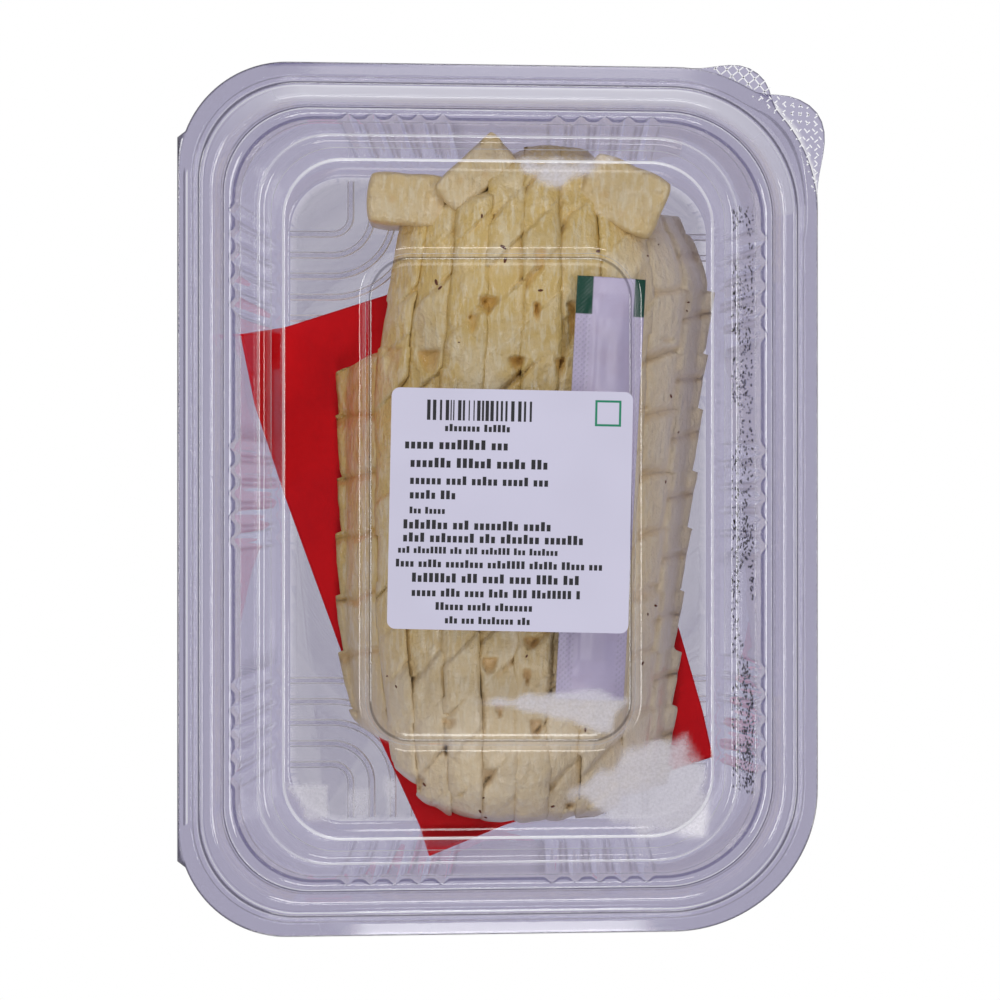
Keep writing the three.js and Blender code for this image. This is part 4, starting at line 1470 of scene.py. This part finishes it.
def add_prism(points, faces, outline, low, high):
    """Adds an upright prism over an outline to a mesh's points and faces."""
    start, size = len(points), len(outline)
    points += [(x, y, low) for x, y in outline] + [(x, y, high) for x, y in outline]
    faces.append(tuple(start + size + i for i in range(size)))
    faces.append(tuple(start + size - 1 - i for i in range(size)))
    for i in range(size):
        following = (i + 1) % size
        faces.append((start + i, start + following, start + size + following, start + size + i))


def make_label():
    """The square paper label with round corners, on the lid's raised panel."""
    half = LABEL_SIZE / 2
    outline = []
    for quarter, (cx, cy) in enumerate([(1, 1), (-1, 1), (-1, -1), (1, -1)]):
        for step in range(7):
            angle = (quarter + step / 6) * math.pi / 2
            x = cx * (half - LABEL_CORNER) + LABEL_CORNER * math.cos(angle)
            y = cy * (half - LABEL_CORNER) + LABEL_CORNER * math.sin(angle)
            outline.append(label_place(x, y))
    points, faces = [], []
    add_prism(points, faces, outline, LABEL_BOTTOM, LABEL_BOTTOM + LABEL_THICKNESS)
    mesh_piece("blank_label", points, faces, LABEL_PAPER, "lid", ["label"], smooth_faces=False)


def print_piece(name, boxes, ink):
    """Thin printed blocks on the label: each box has its two sides across and its two sides along."""
    low = LABEL_BOTTOM + LABEL_THICKNESS
    points, faces = [], []
    for x0, x1, y0, y1 in boxes:
        outline = [label_place(*corner) for corner in ((x0, y0), (x1, y0), (x1, y1), (x0, y1))]
        add_prism(points, faces, outline, low, low + INK_THICKNESS)
    mesh_piece(name, points, faces, ink, "lid", smooth_faces=False)


def make_label_print():
    """Bars, rows of small blocks that stand in for letters, and the outline of an empty square."""
    generator = np.random.default_rng(PRINT_SEED)
    boxes = []
    x, end, bar_low, bar_high = BAR_BLOCK
    while x < end - 0.5:
        width = generator.choice(BAR_WIDTHS)
        boxes.append((x, x + width, bar_low, bar_high))
        x += width + generator.choice(BAR_SPACES)
    for y, start, length, size in MARK_ROWS:
        x, foot = start, y - MARK_DROP * size
        while x < start + length - MARK_WIDTH * size:
            for _ in range(generator.integers(3, 9)):
                tall = size * generator.choice(MARK_HEIGHTS)
                boxes.append((x, x + MARK_WIDTH * size, foot, foot + tall))
                x += (MARK_WIDTH + MARK_SPACE) * size
                if x > start + length:
                    break
            x += WORD_SPACE * size
    print_piece("label_print", boxes, BLACK_INK)
    cx, cy, size = GREEN_MARK
    half, line = size / 2, GREEN_LINE
    frame_boxes = [
        (cx - half, cx + half, cy + half - line, cy + half),
        (cx - half, cx + half, cy - half, cy - half + line),
        (cx - half, cx - half + line, cy - half + line, cy + half - line),
        (cx + half - line, cx + half, cy - half + line, cy + half - line),
    ]
    print_piece("label_green_print", frame_boxes, GREEN_INK)


# Ridges in the tray's floor corners: nested quarter bends, pressed in from below

def ridge_path(number):
    """The centre line of one ridge in the lower corner on the hinge side."""
    radius = RIDGE_FIRST_RADIUS + RIDGE_PITCH * number
    cx, cy = RIDGE_BEND_CENTRE
    path = [(RIDGE_CORNER[0] + 0.6, cy + radius)]
    for step in range(13):
        angle = math.pi / 2 * (1 - step / 12)
        path.append((cx + radius * math.cos(angle), cy + radius * math.sin(angle)))
    path.append((cx + radius, RIDGE_CORNER[1] + 3.0))
    return np.array(path)


def ridge_mesh(path, start):
    """A low ridge with steep sides along a path, closed at its ends."""
    along = np.gradient(path, axis=0)
    along /= np.linalg.norm(along, axis=1)[:, None]
    side = np.column_stack([-along[:, 1], along[:, 0]])
    size = len(RIDGE_SECTION)
    points = []
    for centre, normal in zip(path, side):
        for share, height, _ in RIDGE_SECTION:
            x, y = centre + normal * share * RIDGE_HALF_WIDTH
            points.append((x, y, TRAY_WALL + height * RIDGE_HEIGHT))
    faces = []
    for i in range(len(path) - 1):
        for k in range(size):
            following = (k + 1) % size
            low, high = start + i * size, start + (i + 1) * size
            faces.append((low + k, low + following, high + following, high + k))
    last = start + (len(path) - 1) * size
    faces.append(tuple(start + size - 1 - k for k in range(size)))
    faces.append(tuple(last + k for k in range(size)))
    return points, faces


def make_floor_ridges():
    """One corner's nested ridges, mirrored into the other three."""
    points, faces = [], []
    for mirror_x in (1, -1):
        for mirror_y in (1, -1):
            for number in range(RIDGE_COUNT):
                path = ridge_path(number) * np.array([mirror_x, mirror_y])
                path[:, 1] *= taper_at(path[:, 0])
                new_points, new_faces = ridge_mesh(path, len(points))
                if mirror_x * mirror_y < 0:
                    new_faces = [face[::-1] for face in new_faces]
                points += new_points
                faces += new_faces
    name = "tray_floor_ridges"
    piece = mesh_piece(name, points, faces, RIDGE_PLASTIC, "tray", smooth_faces=False)
    # Painted white highlights along the ridges' sloping sides
    ridge_highlight = [look for _, _, look in RIDGE_SECTION]
    ridge_highlight = np.tile(ridge_highlight, len(points) // len(RIDGE_SECTION))
    add_attributes(piece, bend=ridge_highlight, shine=0 * ridge_highlight)


# Water beads on the tray's free-side wall

def wall_bead_places():
    """Seeded places of the beads: point and radius. They crowd in the near half, high on the wall."""
    generator = np.random.default_rng(BEAD_SEED)
    places = []
    while len(places) < BEAD_COUNT:
        inset = generator.uniform(*BEAD_INSETS)
        height = WALL_FOOT_HEIGHT + (WALL_FOOT - inset) * WALL_SLOPE
        y = generator.uniform(-BEAD_REACH, BEAD_REACH)
        radius = generator.uniform(*BEAD_RADII)
        crowd = 1.0 if y < 0 and inset < 15 else 0.35
        if wobble(0, y, height, 9.0) > 0.9 - crowd or generator.random() > crowd:
            continue
        places.append(((PACK_WIDTH / 2 - inset - 0.06, y, height), radius))
    return places


def make_beads():
    """Water beads, each a flattened dome on the wall."""
    points, faces = [], []
    axis = Vector(BEAD_AXIS)
    first = axis.orthogonal().normalized()
    second = axis.cross(first)
    for place, radius in wall_bead_places():
        centre = Vector(place)

        def place_at(turn, lift):
            flat = first * math.cos(turn) + second * math.sin(turn)
            rise = axis * BEAD_FLATNESS * math.sin(lift)
            return tuple(centre + (flat * math.cos(lift) + rise) * radius)

        add_dome(points, faces, place_at, tuple(centre + axis * radius * BEAD_FLATNESS))
    mesh_piece("tray_water_beads", points, faces, BEAD_WATER, "tray")


# Fog under the lid

def depth_inside(polygon, x, y):
    """How far each place lies inside a convex polygon, given either way round."""
    corners = np.array(polygon, float)
    edges = np.roll(corners, -1, axis=0) - corners
    edges /= np.linalg.norm(edges, axis=1)[:, None]
    centre = corners.mean(axis=0)
    depth = np.full(x.shape, 1e9)
    for corner, edge in zip(corners, edges):
        normal = np.array([-edge[1], edge[0]])
        if np.dot(centre - corner, normal) < 0:
            normal = -normal
        depth = np.minimum(depth, (x - corner[0]) * normal[0] + (y - corner[1]) * normal[1])
    return depth


def make_fog_patch(number, polygon, strength, softness):
    """One patch of fog on its own level, thinning out towards its edge."""
    corners = np.array(polygon, float)
    (x0, y0), (x1, y1) = corners.min(axis=0) - FOG_MARGIN, corners.max(axis=0) + FOG_MARGIN
    columns, rows = int((x1 - x0) / FOG_STEP), int((y1 - y0) / FOG_STEP)
    level = FOG_HEIGHT - FOG_SPACING * number

    def plan(u, v):
        return x0 + (x1 - x0) * u, y0 + (y1 - y0) * v

    def lower(u, v):
        return *plan(u, v), level

    def upper(u, v):
        return *plan(u, v), level + FOG_THICKNESS

    name = f"lid_fog_{number + 1}"
    piece, places = grid_piece(name, columns, rows, lower, upper, FOG_FILM, "lid", "clear_plastic", ())
    x, y = plan(*np.array(places).T)
    depth = depth_inside(polygon, x, y) + min(1.2, 0.5 * softness) * wobble(x, y, 0, 3.0)
    fog = strength * smooth(depth / softness)
    add_attributes(piece, fog=np.concatenate([fog, fog]))


# Grips on the opening tabs: raised lines both ways, whole on the tray's tab and broken on the lid's

def inside_outline(outline, x, y):
    """Even-odd test of a point against a closed outline."""
    x0, y0 = outline[:, 0], outline[:, 1]
    x1, y1 = np.roll(x0, -1), np.roll(y0, -1)
    crosses = (y0 > y) != (y1 > y)
    at = x0 + (y - y0) * (x1 - x0) / np.where(y1 == y0, 1e-9, y1 - y0)
    return np.count_nonzero(crosses & (x < at)) % 2 == 1


def grip_dashes(outline, origin, along, stagger, grip):
    """The two ends of each dash of one grip line, where the line runs inside the outline."""
    period = grip["dash"] + grip["space"]
    dashes, run = [], []
    for number in range(-GRIP_HALF_STEPS, GRIP_HALF_STEPS + 1):
        place = number * GRIP_STEP
        spot = origin + along * place
        keep = (place + stagger) % period < grip["dash"] and inside_outline(outline, *spot)
        if keep:
            run.append(spot)
        if run and (not keep or number == GRIP_HALF_STEPS):
            if len(run) > 3:
                dashes.append((run[0], run[-1]))
            run = []
    return dashes


def make_grip(name, area, height, body, grip):
    """Thin raised lines over a tab's area."""
    outline = np.array(area, float)
    centre = outline.mean(axis=0)
    points, faces = [], []
    for angle in grip["angles"]:
        along = np.array([math.cos(math.radians(angle)), math.sin(math.radians(angle))])
        across = np.array([-along[1], along[0]])
        side = across * GRIP_HALF_WIDTH
        for line in range(-GRIP_HALF_LINES, GRIP_HALF_LINES + 1):
            origin = centre + across * line * grip["pitch"]
            stagger = (line % 2) * 0.5 * (grip["dash"] + grip["space"])
            for first, last in grip_dashes(outline, origin, along, stagger, grip):
                corners = [first - side, last - side, last + side, first + side]
                add_prism(points, faces, corners, height - GRIP_SINK, height + GRIP_RISE)
    mesh_piece(name, points, faces, GRIP_PLASTIC, body, smooth_faces=False)


# Stage

def make_floor():
    """A pale floor that glows evenly, as a lit white sweep does: the photograph shows no shadow on it."""
    nodes = Nodes("pale_floor")
    glow = nodes.add("ShaderNodeEmission", {"Color": colour(1, 1, 1), "Strength": 1.0})
    material = nodes.done(glow)
    material.cycles.emission_sampling = "NONE"
    mesh = bpy.data.meshes.new("floor")
    half = FLOOR_HALF_SIZE
    corners = [(-half, -half, 0), (half, -half, 0), (half, half, 0), (-half, half, 0)]
    mesh.from_pydata(corners, [], [(0, 1, 2, 3)])
    mesh.materials.append(material)
    floor = bpy.data.objects.new("floor", mesh)
    bpy.context.scene.collection.objects.link(floor)


def add_light(name, place, size, power):
    data = bpy.data.lights.new(name, "AREA")
    data.shape = "RECTANGLE"
    data.size, data.size_y = size
    data.energy = power
    light = bpy.data.objects.new(name, data)
    light.location = place
    light.rotation_mode = "QUATERNION"
    light.rotation_quaternion = (-Vector(place)).to_track_quat("-Z", "Y")
    bpy.context.scene.collection.objects.link(light)


def make_world():
    """Pale at the horizon and dark overhead, so that the lid mirrors nothing bright to the camera."""
    world = bpy.data.worlds.new("studio")
    world.use_nodes = True
    tree = world.node_tree
    place = tree.nodes.new("ShaderNodeTexCoord")
    axes = tree.nodes.new("ShaderNodeSeparateXYZ")
    ramp = tree.nodes.new("ShaderNodeMapRange")
    for key, value in SKY_RAMP.items():
        ramp.inputs[key].default_value = value
    background = tree.nodes["Background"]
    tree.links.new(place.outputs["Generated"], axes.inputs[0])
    tree.links.new(axes.outputs["Z"], ramp.inputs["Value"])
    tree.links.new(ramp.outputs[0], background.inputs["Strength"])
    background.inputs["Color"].default_value = colour(0.97, 0.97, 1.0)
    world.cycles.sampling_method = "NONE"
    bpy.context.scene.world = world


def make_lights():
    make_world()
    for light in LIGHTS:
        add_light(*light)


def make_camera():
    """Straight above the pack, as in the photograph."""
    data = bpy.data.cameras.new("camera")
    data.sensor_width = SENSOR_WIDTH
    focal_pixels = RIM_SCALE * (CAMERA_HEIGHT - RIM_HEIGHT)
    data.lens = focal_pixels / IMAGE_SIZE * SENSOR_WIDTH
    camera = bpy.data.objects.new("camera", data)
    middle = IMAGE_SIZE / 2
    x = (middle - RIM_CENTRE_PIXEL[0]) / RIM_SCALE + SHIFT_X
    y = (RIM_CENTRE_PIXEL[1] - middle) / RIM_SCALE
    camera.location = (x * MM, y * MM, CAMERA_HEIGHT * MM)
    bpy.context.scene.collection.objects.link(camera)
    bpy.context.scene.camera = camera


make_camera()
make_lights()
make_floor()
bpy.context.scene.view_settings.view_transform = "Standard"
bpy.context.scene.cycles.transparent_max_bounces = 32
bpy.context.scene.cycles.max_bounces = 4
bpy.context.scene.cycles.diffuse_bounces = 2
bpy.context.scene.cycles.glossy_bounces = 1
bpy.context.scene.cycles.caustics_reflective = False

make_tray()
make_floor_ridges()
make_lid()
for slice_number in range(SLICE_COUNT):
    make_slice(slice_number)
for broken_end in BROKEN_ENDS:
    make_broken_end(*broken_end)
make_pad()
make_sachet()
make_label()
make_label_print()
make_specks()
make_beads()
for patch_number, fog_patch in enumerate(FOG_PATCHES):
    make_fog_patch(patch_number, *fog_patch)
make_grip("lid_tab_grip", LID_GRIP_AREA, RIM_HEIGHT + GAP + LID_WALL, "lid", LID_GRIP)
make_grip("tray_tab_grip", TRAY_GRIP_AREA, RIM_HEIGHT, "tray", TRAY_GRIP)
